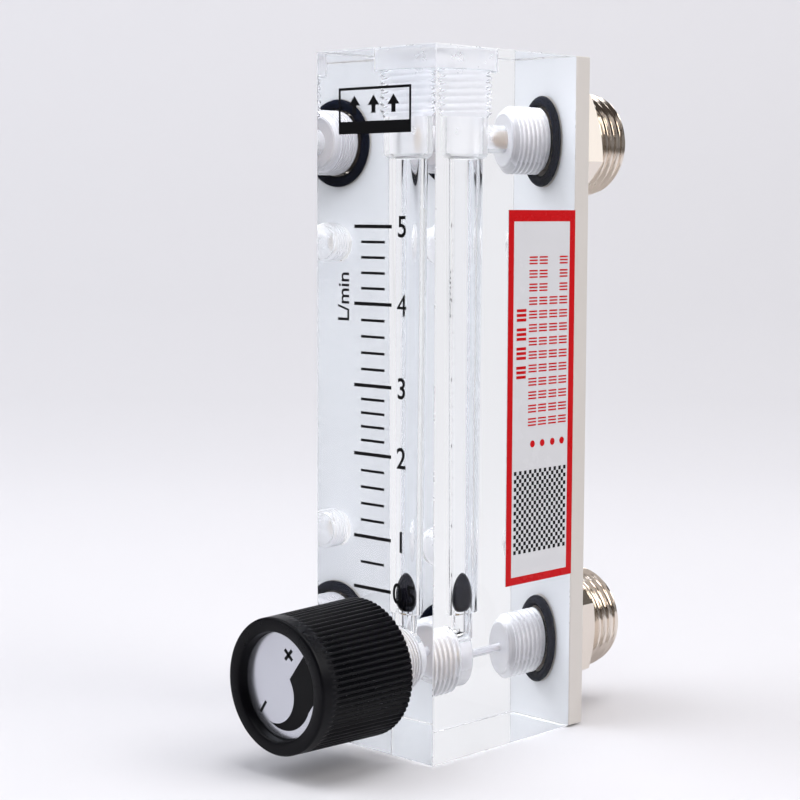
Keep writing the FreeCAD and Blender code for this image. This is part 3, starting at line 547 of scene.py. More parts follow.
# profiles are (radius, depth), those of the upright bore (radius, height)
holes = {
    "bore": [(0, 19.2), (2.9, 19.2), (3.4, 84.75), (4.0, 85.1), (4.25, 85.45), (4.25, 97.2),
             (6.05, 97.2), (6.05, 101.0), (0, 101.0)],
    "boreTop": 84.7, "reamedTop": 90.4, "plugThread": 90.6, "plugThreadLong": 6.9,
    "riserRadius": 1.95, "riserStart": 2.6, "riserEnd": 19.5,
    "crossRadius": 2.0, "crossLong": 8.3,
    "valve": [(0, -0.5), (4.25, -0.5), (4.25, 12.35), (4.1, 12.65), (3.8, 12.8), (0.65, 12.8),
              (0.65, 20.8), (0, 20.8)],
    "valveThreadLong": 11.2, "mouth": 1.0,
    "port": [(0, 0), (3.8, 0), (4.1, 0.15), (4.25, 0.45), (4.25, 7.76), (6.75, 7.76),
             (6.75, 10.0), (0, 10.0)],
    "portEnd": 5.6, "portThread": 6.0, "portThreadLong": 7.5, "lead": 4.2,
    "panel": [(0, 0), (2.6, 1.56), (2.6, 2.1), (2.45, 2.2), (2.45, 9.5), (0, 9.5)],
    "panelTip": 6.24, "panelTap": (2.5, 3.0, 1.0), "panelThread": 8.3, "panelThreadLong": 7.5,
    "panelLead": 2.4}


def makeBlock():
    low, lead = ports["low"], holes["lead"]
    cuts = [
        placed(turnedSolid(holes["bore"], 160), turnUp, y=boreY),
        placed(threadedRod(*tapped, holes["plugThreadLong"], startLead=lead), turnUp, y=boreY,
               z=holes["plugThread"]),
        placed(plainRod(holes["riserRadius"], low + holes["riserStart"], holes["riserEnd"], 64),
               turnUp, y=boreY),
        placed(turnedSolid(holes["valve"]), turnBack, y=front, z=low),
        placed(threadedRod(*tapped, holes["valveThreadLong"], endLead=lead), turnBack,
               y=front - holes["mouth"], z=low),
        placed(plainRod(holes["crossRadius"], 0, holes["crossLong"], 48), turnBack, y=boreY,
               z=ports["top"])]
    for height in (low, ports["top"]):
        cuts.append(placed(turnedSolid(holes["port"]), turnBack, y=holes["portEnd"], z=height))
        cuts.append(placed(threadedRod(*tapped, holes["portThreadLong"], startLead=lead),
                           turnBack, y=holes["portThread"], z=height))
    for height in panelHoles:
        cuts.append(placed(turnedSolid(holes["panel"], 64), turnBack, y=holes["panelTip"],
                           z=height))
        cuts.append(placed(threadedRod(*holes["panelTap"], holes["panelThreadLong"],
                                       startLead=holes["panelLead"], sides=64),
                           turnBack, y=holes["panelThread"], z=height))
    blank = bevelledBox((-side, front, 0), (side, back, block["height"]), block["edge"])
    return combined(blank, cuts, "DIFFERENCE")


zone = {"skin": 0.3, "thin": 0.05, "boreRadius": 3.7, "aboveValve": 2.5, "seatY": 13.3,
        "seatRadius": 5.1, "upper": 80, "lower": 20, "portsY": 5.5}


def blockSurface(centre):
    # the finish of one face of the block, by where the face lies
    x, y, z = centre
    depths = (side - abs(x), min(y - front, back - y), min(z, block["height"] - z))
    if sum(0.01 < depth < block["edge"] for depth in depths) > 1:
        return scrapedEdge
    if y > back - zone["thin"]:
        return milledAcrylic
    if y > zone["seatY"] and min(math.hypot(x, z - ports["low"]),
                                 math.hypot(x, z - ports["top"])) > zone["seatRadius"]:
        return greasedSeat
    if (math.hypot(x, y - boreY) < zone["boreRadius"]
            and ports["low"] + zone["aboveValve"] < z < holes["boreTop"]):
        return boredAcrylic
    if min(side - abs(x), z, block["height"] - z) < zone["skin"] or y < front + zone["thin"]:
        return polishedAcrylic
    if z > zone["upper"] and y < zone["portsY"]:
        return reamedAcrylic if z < holes["reamedTop"] else sealedAcrylic
    return reamedAcrylic if zone["lower"] < z < zone["upper"] else tappedAcrylic


finishPiece("clear_block", makeBlock(),
            [polishedAcrylic, tappedAcrylic, milledAcrylic, greasedSeat, reamedAcrylic,
             sealedAcrylic, boredAcrylic, scrapedEdge],
            "meter", ["body_block"], choose=blockSurface)
print("block drilled and tapped")


# back plate
plate = {"thick": 3.2, "gap": 0.04, "nipple": 5.2, "screw": 3.2, "edge": 0.2, "over": (-1, 5)}


def makePlate():
    cuts = [placed(plainRod(radius, *plate["over"]), turnBack, y=back, z=height)
            for heights, radius in (((ports["low"], ports["top"]), plate["nipple"]),
                                    (panelHoles, plate["screw"])) for height in heights]
    blank = bevelledBox((-side, back + plate["gap"], 0),
                        (side, back + plate["thick"], block["height"]), plate["edge"])
    return combined(blank, cuts, "DIFFERENCE")


finishPiece("ivory_plate", makePlate(), [ivoryPlastic], "meter", ["back_plate"])


# hose fittings
fitting = {"reach": 8.0, "nippleThread": 6.0, "nippleLead": 4.1, "shank": 4.34, "flats": 18.0,
           "hexLong": 6.6, "hexFace": 8.5, "neck": 0.4, "neckRadius": 6.9,
           "thread": (6.95, 8.0, 1.5), "threadLong": 7.3, "leads": (6.95, 7.25), "hole": 4.0,
           "holeFlare": 0.8, "turns": {"outlet": 16.0, "inlet": 34.0}}


def hexagon(flats, length, faceRadius, turned):
    # hexagonal bar with the corners of its far end chamfered by a cone
    corner = flats / math.sqrt(3)
    points = [(corner * math.cos(math.radians(turned + 60 * k)),
               corner * math.sin(math.radians(turned + 60 * k))) for k in range(6)]
    wide = corner + 1
    drop = (wide - faceRadius) * tan30
    cone = turnedSolid([(0, 0), (wide, 0), (wide, length - drop), (faceRadius, length),
                        (0, length)])
    return combined(flatSolid(points, 0, length), [cone], "INTERSECT")


def makeFitting(turned):
    shoulder = fitting["reach"] + plate["thick"]
    hexEnd = shoulder + fitting["hexLong"]
    threadStart = hexEnd + fitting["neck"]
    total = threadStart + fitting["threadLong"]
    hexBar = placed(hexagon(fitting["flats"], fitting["hexLong"], fitting["hexFace"], turned),
                    turnUp, z=shoulder)
    nipple = threadedRod(*threaded, fitting["nippleThread"], startLead=fitting["nippleLead"])
    shank = plainRod(fitting["shank"], fitting["nippleThread"] - 0.2, shoulder + 0.1)
    neck = plainRod(fitting["neckRadius"], hexEnd - 0.5, threadStart + 0.2)
    startLead, endLead = fitting["leads"]
    thread = placed(threadedRod(*fitting["thread"], fitting["threadLong"], startLead=startLead,
                                endLead=endLead, sides=144, steps=16), turnUp, z=threadStart)
    body = combined(hexBar, [nipple, shank, neck, thread], "UNION")
    hole = turnedSolid([(0, -1), (fitting["hole"], -1), (fitting["hole"], total - 0.6),
                        (fitting["hole"] + fitting["holeFlare"], total + 0.2),
                        (0, total + 0.2)])
    return combined(body, [hole], "DIFFERENCE")


for place, height in (("outlet", ports["top"]), ("inlet", ports["low"])):
    shape = placed(makeFitting(fitting["turns"][place]), turnBack, y=back - fitting["reach"],
                   z=height)
    finishPiece(place + "_hose_fitting", shape, [brightNickel], "meter",
                [place + "_fitting"], smooth=28.0)


# seals behind the plate
seal = {"mean": 5.9, "section": 0.8, "y": 14.175}


def sealRing(mean, section, sides=128, steps=24):
    return turnedSolid([(mean + section * math.cos(2 * math.pi * k / steps),
                         section * math.sin(2 * math.pi * k / steps)) for k in range(steps)],
                       sides)


for place, height in (("outlet", ports["top"]), ("inlet", ports["low"])):
    finishPiece(place + "_port_seal", placed(sealRing(seal["mean"], seal["section"]), turnBack,
                                             y=seal["y"], z=height),
                [nitrileRubber], "meter", [place + "_seal"], smooth=60.0)
print("plate, fittings and seals made")


# float
floatShape = {"radius": 2.8, "base": 1.7, "belly": 2.0, "long": 5.4, "nose": 1.5, "rest": 19.4}


def floatOutline(steps=14):
    radius, belly = floatShape["radius"], floatShape["belly"]
    nose, tall = floatShape["nose"], floatShape["long"]
    inset = radius - floatShape["base"]
    lowRadius = (inset ** 2 + belly ** 2) / (2 * inset)
    rise = tall - nose - belly
    topRadius = (radius ** 2 + rise ** 2 - nose ** 2) / (2 * (radius - nose))
    lean = math.atan2(rise, topRadius - radius)
    first = -math.asin(belly / lowRadius)
    points = [(0, 0)]
    for k in range(steps + 1):
        angle = first * (1 - k / steps)
        points.append((radius - lowRadius + lowRadius * math.cos(angle),
                       belly + lowRadius * math.sin(angle)))
    for k in range(1, steps * 2 + 1):
        angle = lean * k / (steps * 2)
        points.append((radius - topRadius + topRadius * math.cos(angle),
                       belly + topRadius * math.sin(angle)))
    for k in range(1, steps):
        angle = lean + (math.pi / 2 - lean) * k / steps
        points.append((nose * math.cos(angle), tall - nose + nose * math.sin(angle)))
    return points + [(0, tall)]


finishPiece("meter_float", placed(turnedSolid(floatOutline()), turnUp, y=boreY,
                                  z=floatShape["rest"]),
            [floatPlastic], "float", ["float"])


# top plug
plug = {"thread": 6.4, "leads": (4.0, 4.32), "neckRadius": 4.3, "neckLow": 96.5,
        "flangeRadius": 5.95, "flangeLow": 97.7, "edge": 0.2, "slot": (1.2, 1.4)}


def makePlug():
    top, rim = block["height"], plug["flangeRadius"]
    head = turnedSolid([(0, plug["neckLow"]), (plug["neckRadius"], plug["neckLow"]),
                        (plug["neckRadius"], plug["flangeLow"]), (rim, plug["flangeLow"]),
                        (rim, top - plug["edge"]), (rim - plug["edge"], top), (0, top)])
    startLead, endLead = plug["leads"]
    thread = placed(threadedRod(*threaded, plug["thread"], startLead=startLead,
                                endLead=endLead), turnUp, z=holes["plugThread"])
    wide, deep = plug["slot"]
    slot = bevelledBox((-8, -wide / 2, top - deep), (8, wide / 2, top + 1))
    return combined(combined(head, [thread], "UNION"), [slot], "DIFFERENCE")


def plugSurface(centre):
    return polishedAcrylic if centre.z > block["height"] - 0.1 else sealedAcrylic


finishPiece("clear_plug", placed(makePlug(), turnUp, y=boreY), [polishedAcrylic, sealedAcrylic],
            "meter", ["top_plug"], choose=plugSurface)
print("float and plug made")


# valve bonnet
bonnet = {"reach": 9.0, "washer": 0.8, "flats": 11.0, "head": 3.1, "face": 5.3, "shank": 4.33,
          "leads": (4.1, 4.3), "hole": 2.56, "pocket": 3.6, "pocketDeep": 4.7, "inner": -6.0}


def makeBonnet():
    headLow = bonnet["reach"] + bonnet["washer"]
    total = headLow + bonnet["head"]
    pocketLow = total - bonnet["pocketDeep"]
    head = placed(hexagon(bonnet["flats"], bonnet["head"], bonnet["face"], 0.0), turnUp,
                  z=headLow)
    startLead, endLead = bonnet["leads"]
    thread = threadedRod(*threaded, bonnet["reach"] - 0.4, startLead=startLead, endLead=endLead)
    shank = plainRod(bonnet["shank"], bonnet["reach"] - 1.0, headLow + 0.1)
    body = combined(head, [thread, shank], "UNION")
    hole = turnedSolid([(0, -1), (bonnet["hole"], -1), (bonnet["hole"], pocketLow),
                        (bonnet["pocket"], pocketLow), (bonnet["pocket"], total + 1),
                        (0, total + 1)])
    return combined(body, [hole], "DIFFERENCE")


finishPiece("brass_bonnet", placed(makeBonnet(), turnFront, y=bonnet["inner"], z=ports["low"]),
            [plainBrass], "meter", ["valve_bonnet"])


# knob; its heights run from the rear edge
knob = {"y": -17.0, "long": 17.0, "rear": 9.95, "front": 9.55, "band": 2.3, "ribs": 72,
        "ribDepth": 0.36, "ribSteps": 10, "ribRows": 37,
        "rearEdge": [(0, 0.0), (9.6, 0.0), (9.85, 0.08), (9.97, 0.3), (9.97, 15.4)],
        "rim": (9.25, 16.5), "rimRound": (0.36, 0.5), "lipRadius": 7.55, "sink": 2.3,
        "lip": [(0.0, -0.25), (0.12, -0.07), (0.3, 0.02), (0.3, 1)],
        "skirtRadii": (8.45, 8.05), "cavity": 12.0, "pocket": 1.5, "pocketRadius": 2.7,
        "hub": 4.4, "hubStart": 2.5, "insert": 3.0, "screw": 1.4}


def ribTree():
    # a tapered rod with rounded ribs that stop short of a smooth band
    tree, given, wanted = shapeTree("ribbedSkirt", {
        "Rear Radius": 10.0, "Front Radius": 9.5, "Length": 17.0, "Band": 2.2, "Depth": 0.4,
        "Ribs": 72, "Steps": 10, "Rows": 36})
    do = sums(tree)
    sides = do.add(do.times(given["Ribs"], given["Steps"]), 1.0)
    mesh, around, along = unrolledGrid(tree, sides, given["Rows"])

    # the row at either end is spare and closes the rod
    spare = do.over(1.0, do.less(given["Rows"], 1.0))
    share = clamped(tree, do.over(do.less(along, spare), do.less(1.0, do.times(spare, 2.0))))
    height = do.times(share, given["Length"])
    taper = do.times(share, do.less(given["Rear Radius"], given["Front Radius"]))
    wave = calc(tree, "COSINE", do.times(do.times(around, given["Ribs"]), 2 * math.pi))
    groove = calc(tree, "POWER", do.less(0.5, do.times(wave, 0.5)), 1.6)
    ribEnd = do.less(given["Length"], given["Band"])
    fade = clamped(tree, do.times(do.less(ribEnd, height), 2.0))
    cut = do.times(do.times(groove, given["Depth"]), fade)
    radius = do.less(do.less(given["Rear Radius"], taper), cut)
    endTree(tree, rolledUp(tree, mesh, around, along, radius, height), given["Material"], wanted)
    return tree


def makeKnob():
    skirt = cleaned(runTree(ribTree(), {
        "Rear Radius": knob["rear"], "Front Radius": knob["front"], "Length": knob["long"],
        "Band": knob["band"], "Depth": knob["ribDepth"], "Ribs": knob["ribs"],
        "Steps": knob["ribSteps"], "Rows": knob["ribRows"], "Material": knobPlastic}), "skirt")

    # rounded rear and front edges, and the shallow lip round the disc
    tall, cavity = knob["long"], knob["cavity"]
    wide, deep = knob["rimRound"]
    frontEdge = [(knob["rim"][0] + wide * x, knob["rim"][1] + deep * y)
                 for x, y in arcPoints((0, 0), 1, 0, 90, 6)]
    envelope = turnedSolid(knob["rearEdge"] + frontEdge + [(0, tall)], 180)
    body = combined(skirt, [envelope], "INTERSECT")

    floor = tall - knob["sink"]
    edge = [(knob["lipRadius"] + out, tall + up) for out, up in knob["lip"]]
    lip = turnedSolid([(0, floor), (knob["lipRadius"], floor)] + edge + [(0, tall + 1)], 144)
    wideEnd, narrowEnd = knob["skirtRadii"]
    hollow = turnedSolid([(0, -1), (wideEnd, -1), (wideEnd, 0), (narrowEnd, cavity),
                          (0, cavity)], 144)
    pocket = plainRod(knob["pocketRadius"], floor - knob["pocket"], floor + 0.1, 64)
    hub = plainRod(knob["hub"], knob["hubStart"], cavity + 0.1, 64)
    hole = turnedSolid([(0, 0), (knob["insert"], 0), (knob["insert"], cavity),
                        (knob["screw"], cavity), (knob["screw"], tall), (0, tall)], 64)
    body = combined(body, [lip, hollow], "DIFFERENCE")
    body = combined(body, [hub], "UNION")
    return combined(body, [pocket, hole], "DIFFERENCE")


finishPiece("ribbed_knob", placed(makeKnob(), turnFront, y=knob["y"], z=ports["low"]),
            [knobPlastic], "valve", ["valve_knob"], smooth=50.0)


# disc in the knob, with its printed marks; circles are (x, y, radius)
dial = {"radius": 7.5, "thick": 0.8, "fall": 0.08, "flat": 7.3, "roundSteps": 8,
        "roundPower": 1.15, "sunk": 0.01, "ink": 0.02,
        "plus": (1.14, 4.4), "plusArm": 1.0, "plusWide": 0.48, "plusTurn": -42.0,
        "minusFrom": (-3.46, -2.87), "minusTo": (-4.58, -4.52), "minusWide": 0.42,
        "arrowOuter": (0.16, -0.92, 5.36), "outerArc": (-121, -22),
        "arrowInner": (-1.95, -1.5, 4.15), "innerArc": (26, -100), "arcSteps": 40,
        "arrowHead": [(6.9, -0.6), (7.1, 1.5), (5.9, 4.0), (4.35, 5.0), (1.37, 1.09)]}


def makeDial():
    points = [(0, 0), (dial["radius"], 0), (dial["radius"], dial["thick"] - dial["fall"])]
    for k in range(1, dial["roundSteps"] + 1):
        angle = math.radians(90 * k / dial["roundSteps"])
        out = (dial["radius"] - dial["flat"]) * math.cos(angle) ** dial["roundPower"]
        points.append((dial["flat"] + out,
                       dial["thick"] - dial["fall"] * (1 - math.sin(angle))))
    return turnedSolid(points + [(0, dial["thick"])], 144)


def bar(start, end, wide, low, high):
    along = (Vector(end) - Vector(start)).normalized() * wide / 2
    across = Vector((-along.y, along.x))
    first, last = Vector(start), Vector(end)
    corners = [first + across, first - across, last - across, last + across]
    return flatSolid([(point.x, point.y) for point in corners], low, high)


def arrowOutline():
    # crescent between two circles, thin at the tail and cut off by its head
    outer, inner = dial["arrowOuter"], dial["arrowInner"]
    return (arcPoints(outer[:2], outer[2], *dial["outerArc"], dial["arcSteps"])
            + dial["arrowHead"]
            + arcPoints(inner[:2], inner[2], *dial["innerArc"], dial["arcSteps"]))


def makeDialMarks():
    low, high = dial["thick"] - dial["sunk"], dial["thick"] + dial["ink"]
    marks = [flatSolid(arrowOutline(), low, high),
             bar(dial["minusFrom"], dial["minusTo"], dial["minusWide"], low, high)]
    middle = Vector(dial["plus"])
    for quarter in (0, 90):
        angle = math.radians(dial["plusTurn"] + quarter)
        reach = Vector((math.cos(angle), math.sin(angle))) * dial["plusArm"]
        marks.append(bar(middle - reach, middle + reach, dial["plusWide"], low, high))
    return joined(marks)


dialBase = knob["y"] - (knob["long"] - knob["sink"])
finishPiece("knob_disc", placed(makeDial(), turnFront, y=dialBase, z=ports["low"]), [dialFoil],
            "valve", ["knob_dial"], smooth=40.0)
finishPiece("knob_disc_marks", placed(makeDialMarks(), turnFront, y=dialBase, z=ports["low"]),
            [printInk], "valve")
print("knob and disc made")


# printed scale on the front face
scale = {"ink": 0.02, "longX": (-3.95, 3.46), "longThick": 0.5, "shortX": (-2.57, 2.1),
         "shortThick": 0.38, "majors": [23.6, 31.0, 42.9, 52.7, 64.3, 75.2], "halfTick": 27.3,
         "numbers": ["0.5", "1", "2", "3", "4", "5"], "numberX": 5.42, "wideShift": 0.6,
         "numberTall": 3.0, "unit": ("L/min", -6.15, 65.2, 2.3),
         "box": (-7.15, 7.1, 88.15, 94.65), "line": 0.38, "band": 1.75,
         "arrows": (-4.0, -0.2, 3.7), "arrow": [(-0.4, 91.0), (0.4, 91.0), (0.4, 92.1),
                                                (1.15, 92.1), (0, 93.5), (-1.15, 92.1),
                                                (-0.4, 92.1)]}


def pointAt(tree, x, y, z):
    return addNode(tree, "ShaderNodeCombineXYZ", X=x, Y=y, Z=z).outputs["Vector"]


def placedCubes(tree, points, size, given, wanted, **pick):
    # a box on every point, ends the tree
    cube = addNode(tree, "GeometryNodeMeshCube", Size=size)
    spread = addNode(tree, "GeometryNodeInstanceOnPoints", Points=points,
                     Instance=cube.outputs["Mesh"], **pick)
    endTree(tree, spread.outputs["Instances"], given["Material"], wanted)
    return tree


def tickTree():
    # a row of printed lines between two heights
    tree, given, wanted = shapeTree("tickRow", {
        "Left": -1.0, "Right": 1.0, "First": 0.0, "Last": 1.0, "Count": 2, "Line": 0.4,
        "Ink": 0.02})
    do = sums(tree)
    middle = do.times(do.add(given["Left"], given["Right"]), 0.5)
    half = do.times(given["Ink"], 0.5)
    row = addNode(tree, "GeometryNodeMeshLine", {"mode": "END_POINTS"}, Count=given["Count"],
                  Start_Location=pointAt(tree, middle, given["First"], half),
                  Offset=pointAt(tree, middle, given["Last"], half))
    size = pointAt(tree, do.less(given["Right"], given["Left"]), given["Line"], given["Ink"])
    return placedCubes(tree, row.outputs["Mesh"], size, given, wanted)


tickRow = tickTree()


def ticks(spanX, first, last, count, line, finish, ink):
    return runTree(tickRow, {"Left": spanX[0], "Right": spanX[1], "First": first, "Last": last,
                             "Count": count, "Line": line, "Ink": ink, "Material": finish})


def lettering(text, x, y, tall, ink, turned=0.0, narrow=0.9):
    # a printed word or number, its middle at (x, y)
    curve = bpy.data.curves.new(text, "FONT")
    curve.body = text
    curve.resolution_u = 6
    curve.offset = 0.0 if "4" in text else 0.012  # a bolder 4 would close up
    mesh = meshOf(holder(curve))
    shape = bmesh.new()
    shape.from_mesh(mesh)
    bmesh.ops.remove_doubles(shape, verts=shape.verts, dist=1e-4)
    result = bmesh.ops.extrude_face_region(shape, geom=shape.faces[:])
    for item in result["geom"]:
        if isinstance(item, bmesh.types.BMVert):
            item.co.z = 1.0
    mesh = closeShape(shape, text)
    places = [vert.co for vert in mesh.vertices]
    low = [min(place[k] for place in places) for k in range(2)]
    high = [max(place[k] for place in places) for k in range(2)]
    size = tall / (high[1] - low[1])
    mesh.transform(Matrix.Translation((-(low[0] + high[0]) / 2, -(low[1] + high[1]) / 2, 0)))
    mesh.transform(Matrix.Diagonal((size * narrow, size, ink, 1)))
    mesh.transform(Matrix.Translation((x, y, 0)) @ Matrix.Rotation(math.radians(turned), 4, "Z"))
    return mesh


def makeScale():
    ink, majors, thin = scale["ink"], scale["majors"], scale["shortThick"]
    marks = [ticks(scale["longX"], height, height, 1, scale["longThick"], printInk, ink)
             for height in majors]
    half = scale["halfTick"]
    marks.append(ticks(scale["shortX"], half, half, 1, thin, printInk, ink))
    for lower, upper in zip(majors[1:], majors[2:]):
        gap = (upper - lower) / 5
        marks.append(ticks(scale["shortX"], lower + gap, upper - gap, 4, thin, printInk, ink))
    for text, height in zip(scale["numbers"], majors):
        shift = scale["wideShift"] if len(text) > 1 else 0.0
        marks.append(lettering(text, scale["numberX"] + shift, height, scale["numberTall"], ink))
    marks.append(lettering(*scale["unit"], ink, 90.0, 1.0))

    # outlined box with a solid foot and flow arrows
    left, right, bottom, top = scale["box"]
    line = scale["line"]
    marks += [rectangle(left, right, bottom, bottom + scale["band"], 0, ink),
              rectangle(left, right, top - line, top, 0, ink),
              rectangle(left, left + line, bottom, top, 0, ink),
              rectangle(right - line, right, bottom, top, 0, ink)]
    marks += [flatSolid([(middle + x, y) for x, y in scale["arrow"]], 0, ink)
              for middle in scale["arrows"]]
    return joined(marks)


finishPiece("printed_scale", placed(makeScale(), turnFront, y=front), [printInk], "meter")


# side label
label = {"low": 23.4, "high": 77.6, "near": 0.05, "far": 15.0, "film": 0.11, "ink": 0.02,
         "sunk": 0.005, "border": (1.2, 1.25, 1.15, 1.65), "edge": 0.03,
         "lines": [(4.7, 6.5, 46.4, 71.1), (6.95, 8.75, 46.4, 72.3), (9.25, 11.05, 46.4, 65.6),
                   (11.5, 13.3, 46.4, 72.3)], "pitch": 1.95, "strokes": 3, "strokeGap": 0.46,
         "stroke": 0.22, "dots": [5.75, 7.95, 10.25, 12.4], "dotZ": 43.75, "dotRadius": 0.52,
         "title": (2.0, 4.1, 53.4, 63.6), "titlePitch": 2.75, "titleGap": 0.68,
         "titleStroke": 0.42, "patch": (1.7, 13.4, 27.85, 40.0), "cells": 21}
turnSide = Matrix(((0, 0, 1, 0), (1, 0, 0, 0), (0, 1, 0, 0), (0, 0, 0, 1)))  # own Z along +X


def chequerTree():
    # every second cell of a grid, filled
    tree, given, wanted = shapeTree("chequerPatch", {
        "Size X": 10.0, "Size Y": 10.0, "Cells": 20, "Ink": 0.02, "Fill": 0.98})
    cells = given["Cells"]
    grid = addNode(tree, "GeometryNodeMeshGrid", Size_X=given["Size X"],
                   Size_Y=given["Size Y"], Vertices_X=cells, Vertices_Y=cells)
    number = tree.nodes.new("GeometryNodeInputIndex").outputs["Index"]
    do = sums(tree)
    row = calc(tree, "FLOOR", do.over(number, cells))
    column = do.less(number, do.times(row, cells))
    odd = calc(tree, "MODULO", do.add(row, column), 2.0)
    gaps = do.less(cells, 1.0)
    wide, tall = [do.times(do.over(given["Size " + axis], gaps), given["Fill"])
                  for axis in "XY"]
    return placedCubes(tree, grid.outputs["Mesh"], pointAt(tree, wide, tall, given["Ink"]),
                       given, wanted, Selection=calc(tree, "LESS_THAN", odd, 0.5))


def strokeGroups(line, pitch, gap, thick, height):
    # a line of print, kept as evenly spaced groups of strokes
    near, far, low, high = line
    strokes, ink = label["strokes"], label["ink"]
    groups = []
    for k in range(round((high - low) / pitch)):
        first = low + k * pitch + thick / 2
        mesh = ticks((near, far), first, first + (strokes - 1) * gap, strokes, thick, labelRed,
                     ink)
        groups.append(placed(mesh, turnUp, z=height - ink))
    return groups


def makeLabelPrint():
    start, end = label["film"] - label["sunk"], label["film"] + label["ink"]
    rim, border = label["edge"], label["border"]
    near, far, low, high = [label[key] for key in ("near", "far", "low", "high")]
    outer = (near + rim, far - rim, low + rim, high - rim)
    inner = (near + border[0], far - border[1], low + border[2], high - border[3])
    red = [rectangle(outer[0], outer[1], outer[2], inner[2], start, end),
           rectangle(outer[0], outer[1], inner[3], outer[3], start, end),
           rectangle(outer[0], inner[0], inner[2], inner[3], start, end),
           rectangle(inner[1], outer[1], inner[2], inner[3], start, end)]
    for line in label["lines"]:
        red += strokeGroups(line, label["pitch"], label["strokeGap"], label["stroke"], end)
    red += strokeGroups(label["title"], label["titlePitch"], label["titleGap"],
                        label["titleStroke"], end)
    red += [placed(plainRod(label["dotRadius"], start, end, 24), turnUp, x=middle,
                   y=label["dotZ"]) for middle in label["dots"]]
    return joined(red)


def makeLabelPatch():
    near, far, low, high = label["patch"]
    cells = label["cells"]
    pitchX, pitchY = (far - near) / cells, (high - low) / cells
    mesh = runTree(chequerTree(), {"Size X": far - near - pitchX, "Size Y": high - low - pitchY,
                                   "Cells": cells, "Ink": label["ink"], "Material": printInk})
    return placed(mesh, turnUp, x=(near + far) / 2, y=(low + high) / 2,
                  z=label["film"] + label["ink"] / 2 - label["sunk"])


# the face against the block gets the back finish, whose glow is painted light
def filmSurface(centre):
    return glowingLabelBack if centre.x < side + 0.001 else labelWhite


film = rectangle(label["near"], label["far"], label["low"], label["high"], 0, label["film"])
finishPiece("label_film_white", placed(film, turnSide, x=side), [labelWhite, glowingLabelBack],
            "meter", ["side_label"], choose=filmSurface)
finishPiece("label_print_red", placed(makeLabelPrint(), turnSide, x=side), [labelRed],
            "meter")
finishPiece("label_print_dark", placed(makeLabelPatch(), turnSide, x=side), [printInk],
            "meter")
print("scale and label printed")


# CAD pieces that keep their own shape
keptFinishes = {"top_plug_seal": clearSilicone, "bonnet_washer": whiteSeal,
                "stem_circlip": springSteel, "valve_stem": plainBrass,
                "stem_seal": nitrileRubber, "knob_insert": plainBrass,
                "knob_screw": springSteel, "knob_washer": springSteel}
for name, finish in keptFinishes.items():
    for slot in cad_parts[name].material_slots:
        slot.material = finish


# camera, at the photograph's viewpoint
camera = {"place": (0.18918646, -0.20445188, 0.07750924), "around": 44.16836, "above": 5.70643,
          "roll": 0.19799, "focal": 1901.1, "image": 800, "sensor": 36.0}


def makeCamera():
    around, above = math.radians(camera["around"]), math.radians(camera["above"])
    behind = Vector((math.sin(around) * math.cos(above), -math.cos(around) * math.cos(above),
                     math.sin(above)))
    right = Vector((math.cos(around), math.sin(around), 0))
    up = behind.cross(right)
    turn = Matrix.Rotation(math.radians(camera["roll"]), 3, "Z")
    axes = Matrix((right, up, behind)).transposed() @ turn
    lens = bpy.data.cameras.new("camera")
    lens.sensor_width = camera["sensor"]
    lens.lens = camera["focal"] / camera["image"] * camera["sensor"]
    lens.clip_start, lens.clip_end = 0.01, 20.0
    scene.camera = holder(lens)
    scene.camera.matrix_world = Matrix.Translation(camera["place"]) @ axes.to_4x4()


# floor, light and world
studio = {"drop": 0.0003, "reach": 0.9, "sweep": 0.35, "tall": 1.2,
          "bend": 0.25, "bendSteps": 16, "wide": 1.4,
          # painted shade on the paper: stops of (place along the sweep, brightness)
          "shadeStops": [(0.0, 0.745), (0.15, 0.755), (0.24, 0.74), (0.365, 0.675), (0.465, 0.665),
                    (0.56, 0.68), (0.71, 0.72)], "shadeReach": 0.8, "warmth": (1, 0.988, 1.02),
          "seen": (0.88, 0.88, 0.90, 1), "fill": (0.25, 0.25, 0.27, 1),
          "bright": (1.2, 1.2, 1.22, 1), "dark": (0.06, 0.05, 0.045, 1), "level": 0.15,
          # mirrored: the painted dark reflection of the paper away from the object, between near
          # and far
          "mirrored": (0.15, 0.14, 0.13, 1), "clearView": 0.8, "near": 0.20, "far": 0.45,
          "rightCut": 1.5}
lamps = [
    {"name": "topSoftbox", "place": (0.1, -0.03, 0.9), "size": (0.45, 0.45), "power": 3.6,
     "color": (1, 1, 1)},
    {"name": "leftSoftbox", "place": (-0.5, -0.42, 0.72), "size": (0.7, 0.7), "power": 4.7,
     "color": (0.93, 0.96, 1)},
    {"name": "rightSoftbox", "place": (0.65, 0.3, 0.62), "size": (0.5, 0.6), "power": 3.9,
     "color": (1, 0.98, 0.95)}]


def along(tree, way, aim):
    # how far a vector reaches along a given direction
    reach = tree.nodes.new("ShaderNodeVectorMath")
    reach.operation = "DOT_PRODUCT"
    reach.inputs[1].default_value = aim
    tree.links.new(way, reach.inputs[0])
    return reach.outputs["Value"]


def rayKinds(tree):
    # light mirrored by an outer surface, and light seen straight on or through clear plastic
    ray = tree.nodes.new("ShaderNodeLightPath").outputs
    do = sums(tree)
    passed = do.least(ray["Transmission Depth"], 1.0)
    mirrored = do.times(ray["Is Glossy Ray"], do.less(1.0, passed))
    inner = do.times(ray["Is Glossy Ray"], passed)
    direct = do.most(ray["Is Camera Ray"], do.most(ray["Is Transmission Ray"], inner))
    return mirrored, direct, do.less(direct, ray["Is Camera Ray"])


def spread(tree, value, start, end):
    # 0 below the start, 1 above the end, smooth between
    return addNode(tree, "ShaderNodeMapRange", {"interpolation_type": "SMOOTHSTEP"}, Value=value,
                   From_Min=start, From_Max=end).outputs["Result"]


